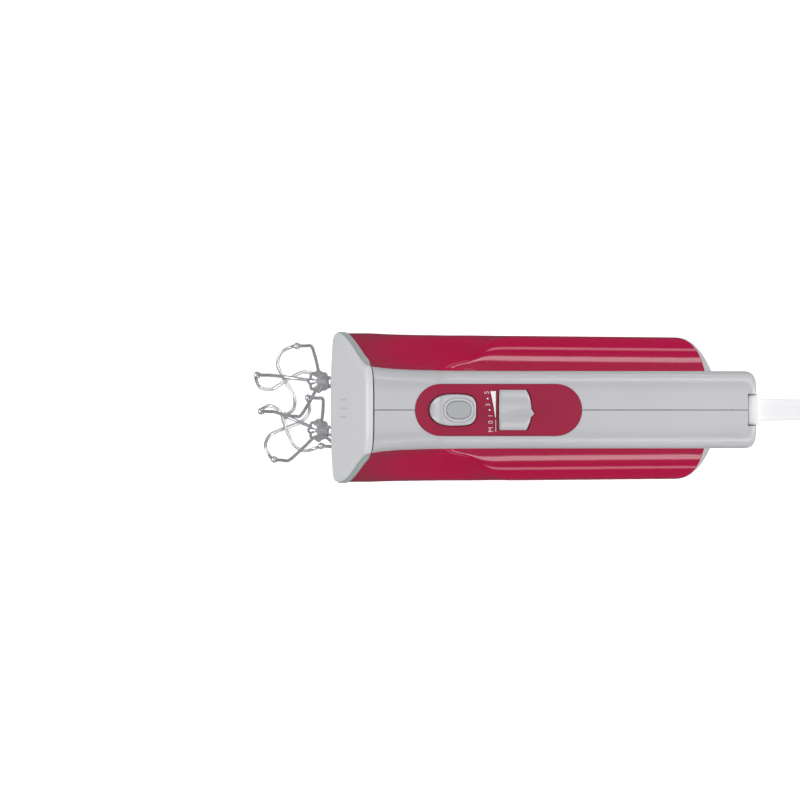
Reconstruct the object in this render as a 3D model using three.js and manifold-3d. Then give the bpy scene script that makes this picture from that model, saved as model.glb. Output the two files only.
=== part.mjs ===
// A hand mixer in its working posture, held by the grip: nose towards -X, rear and cord towards +X,
// +Z up, millimetres, origin at the middle of the grip. Both whisks lean forwards out of the underside.
import * as THREE from "three";
import { mergeVertices } from "three/addons/utils/BufferGeometryUtils.js";
import Module from "manifold-3d";

const wasm = await Module();
wasm.setup();

// ---------- driving dimensions (mm, radians) ----------
const WALL = 2.5;
const GAP = 0.3;
const HALF_GAP = GAP / 2;

const HANDLE = { top: 14, bottom: -14, halfWidth: 19.8, rear: 80.2, corner: 5, crown: 0.5 };
const BODY = { top: -46, bottom: -122, halfWidth: 38, rearHalfWidth: 37.2, rearStart: 44.6, rear: 64.9 };
const SHOULDER_REAR = -45;
const FINGER_GAP = { front: -82, radius: 16, middle: -30 };
const SEAM = { frontX: -118, frontZ: 4 };
const NOSE = { topX: -119.8, topZ: 12, bottomX: -139.8, bottomZ: -119, face: 3, bow: 0.8 };
const RIM_DEPTH = { upper: 4.2, middle: 6.3, lower: 4.7, upperFade: [6, -20], lowerFade: [-113, -98] };
const CHIN_X = -136.3;
const RIM_PROUD = 0.3;
const VENT = { upper: [48.8, -62.7], lower: [13.2, -122] };

const PANEL = { front: -94.3, rear: -9.2, halfWidth: 13.2, bottom: 10.4, top: 14.3 };
const BUTTON = { front: -87.2, rear: -63.2, halfWidth: 8, bottom: 6, shoulder: 13, top: 17.4, slope: 6.6 };
const PAD = { front: -78, rear: -66, halfWidth: 4.3, height: 0.9 };
const KNOB = { front: -51.5, rear: -35.3, radius: 14.5, pivotZ: 3.4, halfWidth: 10.3, ridgeAngle: 0.115 };
const SWITCH = { front: -54.6, rear: -25, bottom: -10.8, top: -6, halfWidth: 9 };

const TILT = THREE.MathUtils.degToRad(14.5);
const PORT = { x: -128.4, z: -122 };
const AXIS_SPACING = 27;
const WORM = { height: 54, pitchRadius: 3.5, module: 1.25, length: 20 };
const WHEEL = { teeth: 16, width: 8 };
const SPINDLE = { radius: 5, bore: 3.2, top: 66, bottom: -2 };
const FRAME = { lower: 18, upper: 60.5, plate: 4, front: -6.5, web: 13.5, halfWidth: 24 };
const FAN_BLADES = 8;
const STATOR = { front: 50, rear: 95, radius: 24, bore: 15.3 };

const WHISK = { shaftTop: 74, hub: -74, tip: -157, radius: 20, wire: 0.9, swirl: 0.7 };
const BEAD = { radius: 2, depth: 66 };
const WHISK_PHASE = { right: THREE.MathUtils.degToRad(80.5), left: THREE.MathUtils.degToRad(60.5) };

const SURFACE_Z = -275.5;
const CORD = { radius: 3.5, sides: 8, bend: 30, dropX: 158 };
const ARRIVAL = THREE.MathUtils.degToRad(35);
const COIL = { x: 206.7, y: -17.2, inner: 31.5, outer: 45.5, height: 14, lift: 1.1 };
const PLUG = { x: 224.7, y: -38.5, length: 36, thick: 13, pinSpacing: 18.6, pinRadius: 2.4, pinLength: 19 };
const RELIEF = { end: 125, rootRadius: 5.85, endRadius: 5, collarFront: 68 };

const COLOURS = {
  red: 0xa8183f, darkRed: 0x8e2238, silver: 0xbfbfc1, paleGrey: 0xd6d6d8, rimGrey: 0x9aa3a3,
  white: 0xeceae4, steel: 0xc9ccd0, darkSteel: 0x7c8084, copper: 0xb4643c, brass: 0xb59a5a,
  black: 0x26272a, nylon: 0xe4e0d2, carbon: 0x2e2e30, frame: 0x8f9496,
};

// ---------- solids ----------
function toSolid(geometry) {
  const bare = geometry.clone();
  for (const name of Object.keys(bare.attributes)) {
    if (name !== "position") bare.deleteAttribute(name);
  }
  const merged = mergeVertices(bare, 1e-4);
  const vertProperties = new Float32Array(merged.attributes.position.array);
  const triVerts = new Uint32Array(merged.index.array);
  return new wasm.Manifold(new wasm.Mesh({ numProp: 3, vertProperties, triVerts }));
}

function toGeometry(solid) {
  const mesh = solid.getMesh();
  const geometry = new THREE.BufferGeometry();
  const values = [];
  for (let i = 0; i < mesh.vertProperties.length; i += mesh.numProp) {
    values.push(mesh.vertProperties[i], mesh.vertProperties[i + 1], mesh.vertProperties[i + 2]);
  }
  geometry.setAttribute("position", new THREE.Float32BufferAttribute(values, 3));
  geometry.setIndex([...mesh.triVerts]);
  geometry.computeVertexNormals();
  return geometry;
}

const joinSolids = (first, ...others) => others.reduce((sum, other) => sum.add(other), first);
const cutSolids = (first, ...others) => others.reduce((rest, other) => rest.subtract(other), first);

// A box between two opposite corners.
function boxBetween([x0, y0, z0], [x1, y1, z1]) {
  const geometry = new THREE.BoxGeometry(x1 - x0, y1 - y0, z1 - z0);
  return geometry.translate((x0 + x1) / 2, (y0 + y1) / 2, (z0 + z1) / 2);
}

// A turned piece about the Z axis from [radius, z] pairs, listed upwards along the outside.
function turned(profile, segments = 24) {
  const points = profile.map(([radius, z]) => new THREE.Vector2(radius, z));
  return new THREE.LatheGeometry(points, segments).rotateX(Math.PI / 2);
}

const rod = (radius, z0, z1, segments = 16) =>
  turned([[0, z0], [radius, z0], [radius, z1], [0, z1]], segments);

const ring = (outer, inner, z0, z1, segments = 24) =>
  turned([[inner, z0], [outer, z0], [outer, z1], [inner, z1], [inner, z0]], segments);

// Turned pieces laid along the X or the Y axis.
const alongX = (geometry) => geometry.rotateY(Math.PI / 2);
const alongY = (geometry) => geometry.rotateX(-Math.PI / 2);

// A plate: an outline of [x, y] points raised from z0 to z1.
function plate(points, z0, z1) {
  const shape = new THREE.Shape(points.map(([x, y]) => new THREE.Vector2(x, y)));
  return new THREE.ExtrudeGeometry(shape, { depth: z1 - z0, bevelEnabled: false }).translate(0, 0, z0);
}

// A side profile of [x, z] points, listed anticlockwise seen from -Y, given a width along Y.
function sideProfile(points, halfWidth) {
  const geometry = plate(points, -halfWidth, halfWidth);
  return geometry.rotateX(Math.PI / 2);
}

// A closed skin through rings of points that run the same way round, from -X to +X. The last cap's middle
// stands out by the crown.
function loft(rings, crown = 0) {
  const count = rings[0].length;
  const positions = rings.flat();
  const triangles = [];
  for (let i = 0; i + 1 < rings.length; i++) {
    for (let j = 0; j < count; j++) {
      const a = i * count + j;
      const b = i * count + ((j + 1) % count);
      triangles.push(a, b, a + count, b, b + count, a + count);
    }
  }
  const last = (rings.length - 1) * count;
  const middle = (ringPoints) =>
    ringPoints.reduce((sum, p) => sum.map((v, k) => v + p[k] / count), [0, 0, 0]);
  const [tipX, tipY, tipZ] = middle(rings[rings.length - 1]);
  positions.push(middle(rings[0]), [tipX + crown, tipY, tipZ]);
  for (let j = 0; j < count; j++) {
    const next = (j + 1) % count;
    triangles.push(positions.length - 2, next, j);
    triangles.push(positions.length - 1, last + j, last + next);
  }
  const geometry = new THREE.BufferGeometry();
  geometry.setAttribute("position", new THREE.Float32BufferAttribute(positions.flat(), 3));
  geometry.setIndex(triangles);
  return geometry;
}

// A round wire or cord along a curve.
function wire(curve, radius, steps, sides) {
  const section = new THREE.Shape();
  for (let i = 0; i < sides; i++) {
    const angle = (2 * Math.PI * i) / sides;
    const [x, y] = [radius * Math.cos(angle), radius * Math.sin(angle)];
    if (i === 0) section.moveTo(x, y);
    else section.lineTo(x, y);
  }
  return new THREE.ExtrudeGeometry(section, { steps, extrudePath: curve, bevelEnabled: false });
}

// ---------- scene graph ----------
const mixer = new THREE.Group();
const drive = new THREE.Group(); // the whisk drive leans forwards about the ports
drive.position.set(PORT.x, 0, PORT.z);
drive.rotation.y = TILT;
mixer.add(drive);

function place(name, geometry, colour, roughness, metalness, parent = mixer) {
  const material = new THREE.MeshStandardMaterial({ color: colour, roughness, metalness });
  const mesh = new THREE.Mesh(geometry, material);
  mesh.name = name;
  parent.add(mesh);
  return mesh;
}

// ---------- housing sections ----------
const lerp = THREE.MathUtils.lerp;
const smooth = (t) => THREE.MathUtils.smoothstep(t, 0, 1);

// One side of a section: [halfWidth, z] from the top to the bottom of the middle plane. The flank
// flares from s.narrow at s.flareTop to s.wide at s.flareBottom, and rounded caps close both ends.
function sectionSide(s, inset) {
  const flank = (z) => {
    const t = (s.flareTop - z) / (s.flareTop - s.flareBottom);
    return lerp(s.narrow, s.wide, smooth(t)) - inset;
  };
  const steps = 4;
  const power = 2 / s.roundness;
  const side = [];
  const upperEnd = s.top - inset - s.topCap;
  const lowerEnd = s.bottom + inset + s.bottomCap;
  for (let i = 0; i <= steps; i++) {
    const angle = (i / steps) * (Math.PI / 2);
    const z = upperEnd + s.topCap * Math.cos(angle) ** power * (i < steps ? 1 : 0);
    side.push([flank(z) * Math.sin(angle) ** power, z]);
  }
  for (let i = 1; i <= s.flankSteps; i++) {
    const z = lerp(upperEnd, lowerEnd, i / (s.flankSteps + 1));
    side.push([flank(z), z]);
  }
  for (let i = steps; i >= 0; i--) {
    const angle = (i / steps) * (Math.PI / 2);
    const z = lowerEnd - s.bottomCap * Math.cos(angle) ** power * (i < steps ? 1 : 0);
    side.push([flank(z) * Math.sin(angle) ** power, z]);
  }
  return side;
}

// The whole ring of a section: down the -Y side and up the +Y side.
function sectionRing(x, s, inset = 0) {
  const side = sectionSide(s, inset);
  const down = side.map(([y, z]) => [x, -y, z]);
  const up = side.slice(1, -1).reverse().map(([y, z]) => [x, y, z]);
  return [...down, ...up];
}

const COLUMN_FRONT = {
  top: HANDLE.top, topCap: 14, bottom: BODY.bottom, bottomCap: 18, roundness: 3, flankSteps: 6,
  narrow: 22.2, wide: 39.8, flareTop: HANDLE.top, flareBottom: -108,
};
const COLUMN_REAR = {
  ...COLUMN_FRONT, narrow: 19.8, wide: 38.5, flareTop: FINGER_GAP.middle, flareBottom: -84,
};
const BARREL_FRONT = { ...COLUMN_REAR, top: FINGER_GAP.middle, topCap: 4 };
const BARREL = {
  ...COLUMN_REAR, top: BODY.top, topCap: 30, narrow: BODY.halfWidth, wide: BODY.halfWidth, roundness: 2.6,
};

function mixSections(a, b, t) {
  const mixed = {};
  for (const key of Object.keys(a)) mixed[key] = lerp(a[key], b[key], t);
  return mixed;
}

// The front column that joins the grip to the body.
function columnSolid(inset) {
  const rear = FINGER_GAP.front - inset;
  const stations = [[-142, 0], [SEAM.frontX, 0], [-108, 0.46], [-99, 0.7], [-90, 0.9], [rear, 1]];
  const rings = stations.map(([x, t]) => sectionRing(x, mixSections(COLUMN_FRONT, COLUMN_REAR, t), inset));
  return toSolid(loft(rings));
}

// The lower end of the finger gap's round front: how far a point at x has come round the arc.
function gapArc(turn) {
  return {
    x: FINGER_GAP.front + FINGER_GAP.radius * (1 - Math.cos(turn)),
    drop: FINGER_GAP.radius * Math.sin(turn),
  };
}

const ARC_TURNS = [0, 0.25, 0.5, 0.75, 1].map((t) => (t * Math.PI) / 2);
const REAR_TURNS = [0, 0.4, 0.7, 0.88, 0.97, 0.995];
const REAR_ROUNDNESS = 1.9;

// The barrel's front rings: its shoulders swell out of the column behind the finger gap's round front.
function shoulderRings(inset) {
  const rings = [sectionRing(FINGER_GAP.front - 8, BARREL_FRONT, inset)];
  const spots = ARC_TURNS.map(gapArc);
  for (const x of [-60, -52, SHOULDER_REAR]) spots.push({ x, drop: FINGER_GAP.radius });
  for (const { x, drop } of spots) {
    const part = smooth((x - FINGER_GAP.front) / (SHOULDER_REAR - FINGER_GAP.front));
    const s = { ...mixSections(BARREL_FRONT, BARREL, part), top: FINGER_GAP.middle - drop };
    rings.push(sectionRing(x, s, inset));
  }
  return rings;
}

// The barrel up to its leaning rear joint and beyond, the same all along.
function barrelSolid(inset) {
  const half = BODY.rearHalfWidth;
  const end = { ...BARREL, narrow: half, wide: half };
  const rear = [BODY.rearStart, BODY.rear - inset].map((x) => sectionRing(x, end, inset));
  return toSolid(loft([...shoulderRings(inset), ...rear]));
}

// The barrel with the round end that its rear cover has.
function roundedBarrelSolid(inset) {
  const rings = shoulderRings(inset);
  const rearLength = BODY.rear - BODY.rearStart - inset;
  for (const t of REAR_TURNS) {
    const f = (1 - t ** REAR_ROUNDNESS) ** (1 / REAR_ROUNDNESS);
    const half = BODY.rearHalfWidth * f;
    const s = { ...BARREL, narrow: half, wide: half };
    s.top = BODY.top - (1 - f) * 6;
    s.bottom = BODY.bottom + (1 - f) * 16;
    s.topCap = lerp(13, BARREL.topCap, f);
    s.bottomCap = lerp(10, BARREL.bottomCap, f);
    rings.push(sectionRing(BODY.rearStart + t * rearLength, s, Math.min(inset, half * 0.4)));
  }
  return toSolid(loft(rings));
}

function handleSolid(inset) {
  const base = {
    top: HANDLE.top, topCap: 12, bottom: HANDLE.bottom, bottomCap: 9, roundness: 3, flankSteps: 2,
    narrow: HANDLE.halfWidth, wide: HANDLE.halfWidth, flareTop: 0, flareBottom: -10,
  };
  const rings = [sectionRing(FINGER_GAP.front - 8, { ...base, bottom: FINGER_GAP.middle }, inset)];
  for (const turn of ARC_TURNS) {
    const { x, drop } = gapArc(turn);
    rings.push(sectionRing(x, { ...base, bottom: FINGER_GAP.middle + drop }, inset));
  }
  for (const turn of [0, 0.4, 0.75, 1].map((t) => (t * Math.PI) / 2)) {
    const shrink = HANDLE.corner * (1 - Math.cos(turn));
    const x = HANDLE.rear - inset - HANDLE.corner + HANDLE.corner * Math.sin(turn);
    const half = HANDLE.halfWidth - shrink;
    const s = { ...base, narrow: half, wide: half, top: HANDLE.top - shrink * 0.5 };
    rings.push(sectionRing(x, { ...s, bottom: HANDLE.bottom + shrink * 0.5 }, inset));
  }
  return toSolid(loft(rings, HANDLE.crown));
}

const noseX = (z) => lerp(NOSE.bottomX, NOSE.topX, (z - NOSE.bottomZ) / (NOSE.topZ - NOSE.bottomZ));

// How far behind the nose's face its rim ends: less where the grip meets it and before the spindles.
function rimBack(z) {
  const { upper, middle, lower, upperFade, lowerFade } = RIM_DEPTH;
  const fade = ([from, to]) => smooth((z - from) / (to - from));
  return Math.min(lerp(upper, middle, fade(upperFade)), lerp(lower, middle, fade(lowerFade)));
}

const seamSlope = (FINGER_GAP.middle - SEAM.frontZ) / (FINGER_GAP.front - SEAM.frontX);
const seamZ = (x) => SEAM.frontZ + seamSlope * (x - SEAM.frontX);

// Everything above (side 1) or below (side -1) the seam between grip and body.
function seamTool(side) {
  const [x0, x1, far] = [-160, FINGER_GAP.front + 3, 200 * side];
  const edge = -HALF_GAP * 1.4 * side;
  const points = [[x0, seamZ(x0) + edge], [x1, seamZ(x1) + edge], [x1, far], [x0, far]];
  if (side < 0) points.reverse();
  return toSolid(sideProfile(points, 80));
}

// The space in front of the shells that the nose cover and its rim take up.
function noseTool() {
  const [z0, z1] = [NOSE.bottomZ - RIM_PROUD - GAP, 40];
  const fadeHeights = ([from, to]) => [0, 0.3, 0.7, 1].map((t) => lerp(from, to, t));
  const heights = [z0, ...[RIM_DEPTH.lowerFade, RIM_DEPTH.upperFade].flatMap(fadeHeights), z1];
  heights.sort((a, b) => a - b);
  const points = [[-170, z0], ...heights.map((z) => [noseX(z) + rimBack(z) + GAP, z]), [-170, z1]];
  const chin = boxBetween([-170, -80, -160], [CHIN_X, 80, 60]);
  return toSolid(sideProfile(points, 80)).add(toSolid(chin));
}

// Everything behind (side 1) or in front of (side -1) the leaning joint of the rear cover.
function ventTool(side) {
  const [[ux, uz], [lx, lz]] = [VENT.upper, VENT.lower];
  const slope = (ux - lx) / (uz - lz);
  const jointX = (z) => lx + slope * (z - lz) - HALF_GAP * 1.2 * side;
  const far = 200 * side;
  const points = [[jointX(-200), -200], [far, -200], [far, 60], [jointX(60), 60]];
  if (side < 0) points.reverse();
  return toSolid(sideProfile(points, 80));
}

// ---------- screw bosses, shared by the two halves of a casing ----------
const BODY_BOSSES = [
  { name: "body_screw_front", x: -98, z: -104 },
  { name: "body_screw_rear", x: 31, z: -68 },
];
const GRIP_BOSSES = [
  { name: "handle_screw_front", x: -104.6, z: 2.3 },
  { name: "handle_screw_rear", x: 62, z: -7.4 },
];
const SCREW = { boss: 3.4, head: 2.6, headHeight: 2.2, shank: 1.2, seat: -12, tip: 9 };

const bossSolid = ({ x, z }) => toSolid(alongY(rod(SCREW.boss, -60, 60, 12)).translate(x, 0, z));

function bossBores({ x, z }) {
  const headSide = rod(SCREW.head + GAP, -60, SCREW.seat, 12);
  const clear = rod(SCREW.shank + GAP, SCREW.seat - 1, SCREW.tip + 1, 10);
  return toSolid(alongY(headSide)).add(toSolid(alongY(clear))).translate([x, 0, z]);
}

// Shells joined with their bosses, then opened by the bores.
function withBosses(shell, outer, bosses) {
  const posts = bosses.map((boss) => bossSolid(boss).intersect(outer));
  return cutSolids(joinSolids(shell, ...posts), ...bosses.map(bossBores));
}

const splitTool = (side) =>
  toSolid(side > 0 ? boxBetween([-300, -99, -300], [300, HALF_GAP, 99])
    : boxBetween([-300, -HALF_GAP, -300], [300, 99, 99]));

function placeScrews() {
  for (const { name, x, z } of [...BODY_BOSSES, ...GRIP_BOSSES]) {
    const { head, headHeight, shank, seat, tip } = SCREW;
    const top = seat - GAP;
    const base = top - headHeight;
    const profile = [[0, base], [head, base], [head, top], [shank, top], [shank, tip], [0, tip]];
    place(name, alongY(turned(profile, 12)).translate(x, 0, z), COLOURS.darkSteel, 0.4, 0.9);
  }
}

// ---------- casings ----------
// Holes in the underside where the spindles come out.
function portHoles() {
  const holes = [-1, 1].map((side) => rod(6, -25, 12, 16).translate(0, (side * AXIS_SPACING) / 2, 0));
  const solid = toSolid(holes[0]).add(toSolid(holes[1]));
  return solid.rotate([0, THREE.MathUtils.radToDeg(TILT), 0]).translate([PORT.x, 0, PORT.z]);
}

function placeBodyShells() {
  const outer = joinSolids(columnSolid(0), barrelSolid(0));
  const inner = joinSolids(columnSolid(WALL), barrelSolid(WALL));
  const noseOpening = noseTool();
  const shell = withBosses(outer.subtract(inner), outer, BODY_BOSSES);
  const trimmed = cutSolids(shell, noseOpening, seamTool(1), ventTool(1), portHoles());
  for (const [name, side] of [["right_body_shell", 1], ["left_body_shell", -1]]) {
    place(name, toGeometry(trimmed.subtract(splitTool(side))), COLOURS.red, 0.15, 0);
  }
}

function stadium(x0, x1, half) {
  const shape = new THREE.Shape();
  shape.moveTo(x0 + half, -half);
  shape.lineTo(x1 - half, -half);
  shape.absarc(x1 - half, 0, half, -Math.PI / 2, Math.PI / 2, false);
  shape.lineTo(x0 + half, half);
  shape.absarc(x0 + half, 0, half, Math.PI / 2, (3 * Math.PI) / 2, false);
  return shape;
}

function stadiumPlate(x0, x1, half, z0, z1) {
  const settings = { depth: z1 - z0, bevelEnabled: false, curveSegments: 10 };
  return new THREE.ExtrudeGeometry(stadium(x0, x1, half), settings).translate(0, 0, z0);
}

function placeHandleHalves() {
  const outer = joinSolids(columnSolid(0), handleSolid(0));
  const inner = joinSolids(columnSolid(WALL), handleSolid(WALL));
  const window = stadiumPlate(PANEL.front - GAP, PANEL.rear + GAP, PANEL.halfWidth + GAP, 5, 30);
  const collarNotch = boxBetween([75.6, -8.3, -8.3], [90, 8.3, 30]);
  const collarBore = alongX(rod(6.6, 60, 90, 16));
  const shell = withBosses(outer.subtract(inner), outer, GRIP_BOSSES);
  const openings = [window, collarNotch, collarBore].map(toSolid);
  const trimmed = cutSolids(shell, noseTool(), seamTool(-1), ...openings);
  for (const [name, side] of [["right_handle_half", 1], ["left_handle_half", -1]]) {
    place(name, toGeometry(trimmed.subtract(splitTool(side))), COLOURS.silver, 0.35, 0.2);
  }
}

// A ring that follows the leaning nose face, bowed back at its sides. The depth behind the face is a
// number, or depends on the height.
function noseRing(depth, inset, bow = NOSE.bow) {
  const s = { ...COLUMN_FRONT, top: NOSE.topZ + 1.8, bottom: NOSE.bottomZ, bottomCap: 9 };
  const behind = typeof depth === "number" ? () => depth : depth;
  return sectionRing(0, s, inset).map(([, y, z]) => [noseX(z) + bow * (y / 39) ** 2 + behind(z), y, z]);
}

function placeNose() {
  const cover = loft([
    noseRing(0, 1.2), noseRing(0.9, 0), noseRing(NOSE.face - GAP, 0),
    noseRing(NOSE.face - GAP, WALL), noseRing(2, WALL + 0.5),
  ]);
  place("nose_cover", cover, COLOURS.paleGrey, 0.35, 0.1);
  const outerRim = [noseRing(NOSE.face, -RIM_PROUD), noseRing(rimBack, -RIM_PROUD, 0)];
  const innerRim = [noseRing(NOSE.face - 1, 2), noseRing((z) => rimBack(z) + 1, 2)];
  const rim = toSolid(loft(outerRim)).subtract(toSolid(loft(innerRim)));
  place("nose_rim", toGeometry(rim), COLOURS.rimGrey, 0.5, 0);
}

function placeRearCover() {
  const shell = roundedBarrelSolid(0).subtract(roundedBarrelSolid(WALL)).subtract(ventTool(-1));
  const slots = [];
  for (let i = 0; i < 4; i++) {
    const z = -80 - 8 * i;
    slots.push(toSolid(boxBetween([20, -17, z - 1.3], [90, -2.5, z + 1.3])));
    slots.push(toSolid(boxBetween([20, 2.5, z - 1.3], [90, 17, z + 1.3])));
  }
  place("rear_vent_cover", toGeometry(cutSolids(shell, ...slots)), COLOURS.silver, 0.4, 0.1);
}

function placeRatingPlate() {
  const bottom = BODY.bottom - 1.1;
  place("rating_plate", boxBetween([-55, -12, bottom], [5, 12, bottom + 0.8]), COLOURS.silver, 0.4, 0.3);
}

// ---------- controls ----------
function placeControlPanel() {
  const slab = stadiumPlate(PANEL.front, PANEL.rear, PANEL.halfWidth, PANEL.bottom, PANEL.top);
  const half = BUTTON.halfWidth + GAP;
  const buttonHole = boxBetween([BUTTON.front - GAP, -half, 0], [BUTTON.rear + GAP, half, 30]);
  const knobHole = boxBetween([KNOB.front - GAP, -KNOB.halfWidth, 0], [KNOB.rear + GAP, KNOB.halfWidth, 30]);
  const drumRoom = alongX(rod(KNOB.radius + GAP, KNOB.front - GAP, KNOB.rear + GAP, 32));
  drumRoom.translate(0, 0, KNOB.pivotZ);
  const panel = cutSolids(toSolid(slab), toSolid(buttonHole), toSolid(knobHole), toSolid(drumRoom));
  place("control_panel", toGeometry(panel), COLOURS.darkRed, 0.45, 0);
}

function placeEjector() {
  const { front, rear, halfWidth, bottom, shoulder, top, slope } = BUTTON;
  const profile = [[front, bottom], [rear, bottom], [rear, top], [front + slope, top], [front, shoulder]];
  place("eject_button", sideProfile(profile, halfWidth), COLOURS.silver, 0.35, 0.2);

  const padBottom = top + GAP;
  const padTop = padBottom + PAD.height;
  const pad = boxBetween([PAD.front, -PAD.halfWidth, padBottom], [PAD.rear, PAD.halfWidth, padTop]);
  place("eject_button_pad", pad, COLOURS.rimGrey, 0.6, 0);

  // A stem under the button, a leaning arm down the column, and a bar over both whisk shafts.
  const stemTop = bottom - GAP;
  const arm = [
    [-86, 0], [-76, 0], [-76, stemTop], [-86, stemTop], [-91, 0],
    [-108, -42], [-116, -42], [-116, -48.6], [-103, -48.6],
  ];
  const bar = boxBetween([-116, -18, -48.6], [-103.5, 18, -43]);
  place("ejector_frame", toGeometry(toSolid(sideProfile(arm, 4)).add(toSolid(bar))), COLOURS.nylon, 0.5, 0);

  const [low, high, turns, radius] = [-10.8, 5, 4, 3.6];
  class Helix extends THREE.Curve {
    getPoint(t, target = new THREE.Vector3()) {
      const angle = 2 * Math.PI * turns * t;
      return target.set(-69 + radius * Math.cos(angle), radius * Math.sin(angle), lerp(low, high, t));
    }
  }
  place("eject_spring", wire(new Helix(), 0.5, turns * 10, 5), COLOURS.steel, 0.3, 0.9);
}

// The drum shows through the panel: a sector of a wheel on a lengthwise pin, with a ridge along its crown.
function placeSpeedKnob() {
  const { front, rear, radius, pivotZ, ridgeAngle } = KNOB;
  const [halfSector, hub, crown] = [1.42, 4, 1.8];
  const outline = new THREE.Shape();
  outline.absarc(0, 0, radius, Math.PI / 2 - halfSector, Math.PI / 2 + halfSector, false);
  outline.absarc(0, 0, hub, Math.PI / 2 + halfSector, Math.PI / 2 - halfSector + 2 * Math.PI, false);
  const settings = { depth: rear - front, bevelEnabled: false, curveSegments: 14 };
  const sector = new THREE.ExtrudeGeometry(outline, settings);
  const ridge = boxBetween([-1.4, radius - 1, 0], [1.4, radius + crown, rear - front]);
  const drum = toSolid(sector).add(toSolid(ridge)).subtract(toSolid(rod(1.8, -5, 30, 12)));
  // The sector is drawn in a plane that faces +X: its own x becomes +Y and its own y becomes +Z.
  const turn = new THREE.Matrix4().makeBasis(
    new THREE.Vector3(0, 1, 0), new THREE.Vector3(0, 0, 1), new THREE.Vector3(1, 0, 0),
  );
  const knob = place("speed_knob", toGeometry(drum).applyMatrix4(turn), COLOURS.silver, 0.35, 0.2);
  knob.position.set(front, 0, pivotZ);
  knob.rotation.x = ridgeAngle;

  const pin = alongX(rod(1.5, SWITCH.front, KNOB.rear + 3.2, 12)).translate(0, 0, pivotZ);
  place("speed_knob_pin", pin, COLOURS.steel, 0.3, 0.9);
}

function placeSwitch() {
  const { front, rear, bottom, top, halfWidth } = SWITCH;
  const base = boxBetween([front, -halfWidth, bottom], [rear, halfWidth, top]);
  const earTop = KNOB.pivotZ + 4;
  const ears = [front, KNOB.rear + 0.6].map((x) => boxBetween([x, -4, top - 1], [x + 2.4, 4, earTop]));
  const terminals = boxBetween([-31.8, -7, top - 1], [rear, 7, 4]);
  const pinBore = alongX(rod(1.6, front - 2, KNOB.rear + 6, 12)).translate(0, 0, KNOB.pivotZ);
  const [pinLow, pinHigh] = [KNOB.pivotZ - 2.2, KNOB.pivotZ + 2.2];
  const pinEnd = boxBetween([KNOB.rear + 3, -2.2, pinLow], [KNOB.rear + 3.7, 2.2, pinHigh]);
  const body = joinSolids(toSolid(base), ...ears.map(toSolid), toSolid(terminals));
  const bored = cutSolids(body, toSolid(pinBore), toSolid(pinEnd));
  place("speed_switch", toGeometry(bored), COLOURS.black, 0.5, 0);
}

// ---------- drive, in the leaning group: +Z up the spindles, +X back along the motor ----------
function placeGearFrame() {
  const { lower, upper, plate: thick, front, web, halfWidth } = FRAME;
  const low = boxBetween([front, -halfWidth, lower], [web + 4, halfWidth, lower + thick]);
  const high = boxBetween([front, -halfWidth, upper], [web + 4, halfWidth, upper + thick]);
  const back = boxBetween([web, -halfWidth, lower], [web + 4, halfWidth, upper + thick]);
  const seats = [-1, 1].map((side) => rod(7.8, 0, 90, 16).translate(0, (side * AXIS_SPACING) / 2, 0));
  const bearingSeat = alongX(rod(7.8, web - 2, web + 8, 16)).translate(0, 0, WORM.height);
  const body = joinSolids(...[low, high, back].map(toSolid));
  const frame = cutSolids(body, ...seats.map(toSolid), toSolid(bearingSeat));
  place("gear_frame", toGeometry(frame), COLOURS.frame, 0.5, 0.7, drive);
}

// A worm wheel: round teeth on an outline that twists with the worm's lead from face to face.
function wormWheelGeometry(hand, phase) {
  const pitch = (WORM.module * WHEEL.teeth) / 2;
  const lead = Math.atan((WORM.module) / (2 * WORM.pitchRadius));
  const layers = 2;
  const radii = [pitch - 1.5, pitch + 0.85, pitch + 0.85, pitch - 1.5];
  const spots = [0.18, 0.4, 0.6, 0.82];
  const rings = [];
  for (let i = 0; i <= layers; i++) {
    const z = WHEEL.width * (i / layers - 0.5);
    const twist = (hand * z * Math.tan(lead)) / pitch;
    const points = [];
    for (let tooth = 0; tooth < WHEEL.teeth; tooth++) {
      radii.forEach((radius, k) => {
        const angle = (2 * Math.PI * (tooth + spots[k] - 0.5)) / WHEEL.teeth + twist + phase;
        // Listed anticlockwise seen from +X once the wheel is laid along X for the loft.
        points.push([z, radius * Math.cos(angle), radius * Math.sin(angle)]);
      });
    }
    rings.push(points);
  }
  const wheel = toSolid(loft(rings)).subtract(toSolid(alongX(rod(SPINDLE.radius + GAP, -9, 9, 16))));
  return toGeometry(wheel).rotateY(-Math.PI / 2);
}

function spindleGeometry() {
  const { radius, bore, top, bottom } = SPINDLE;
  return ring(radius, bore, bottom, top, 16);
}

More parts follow.
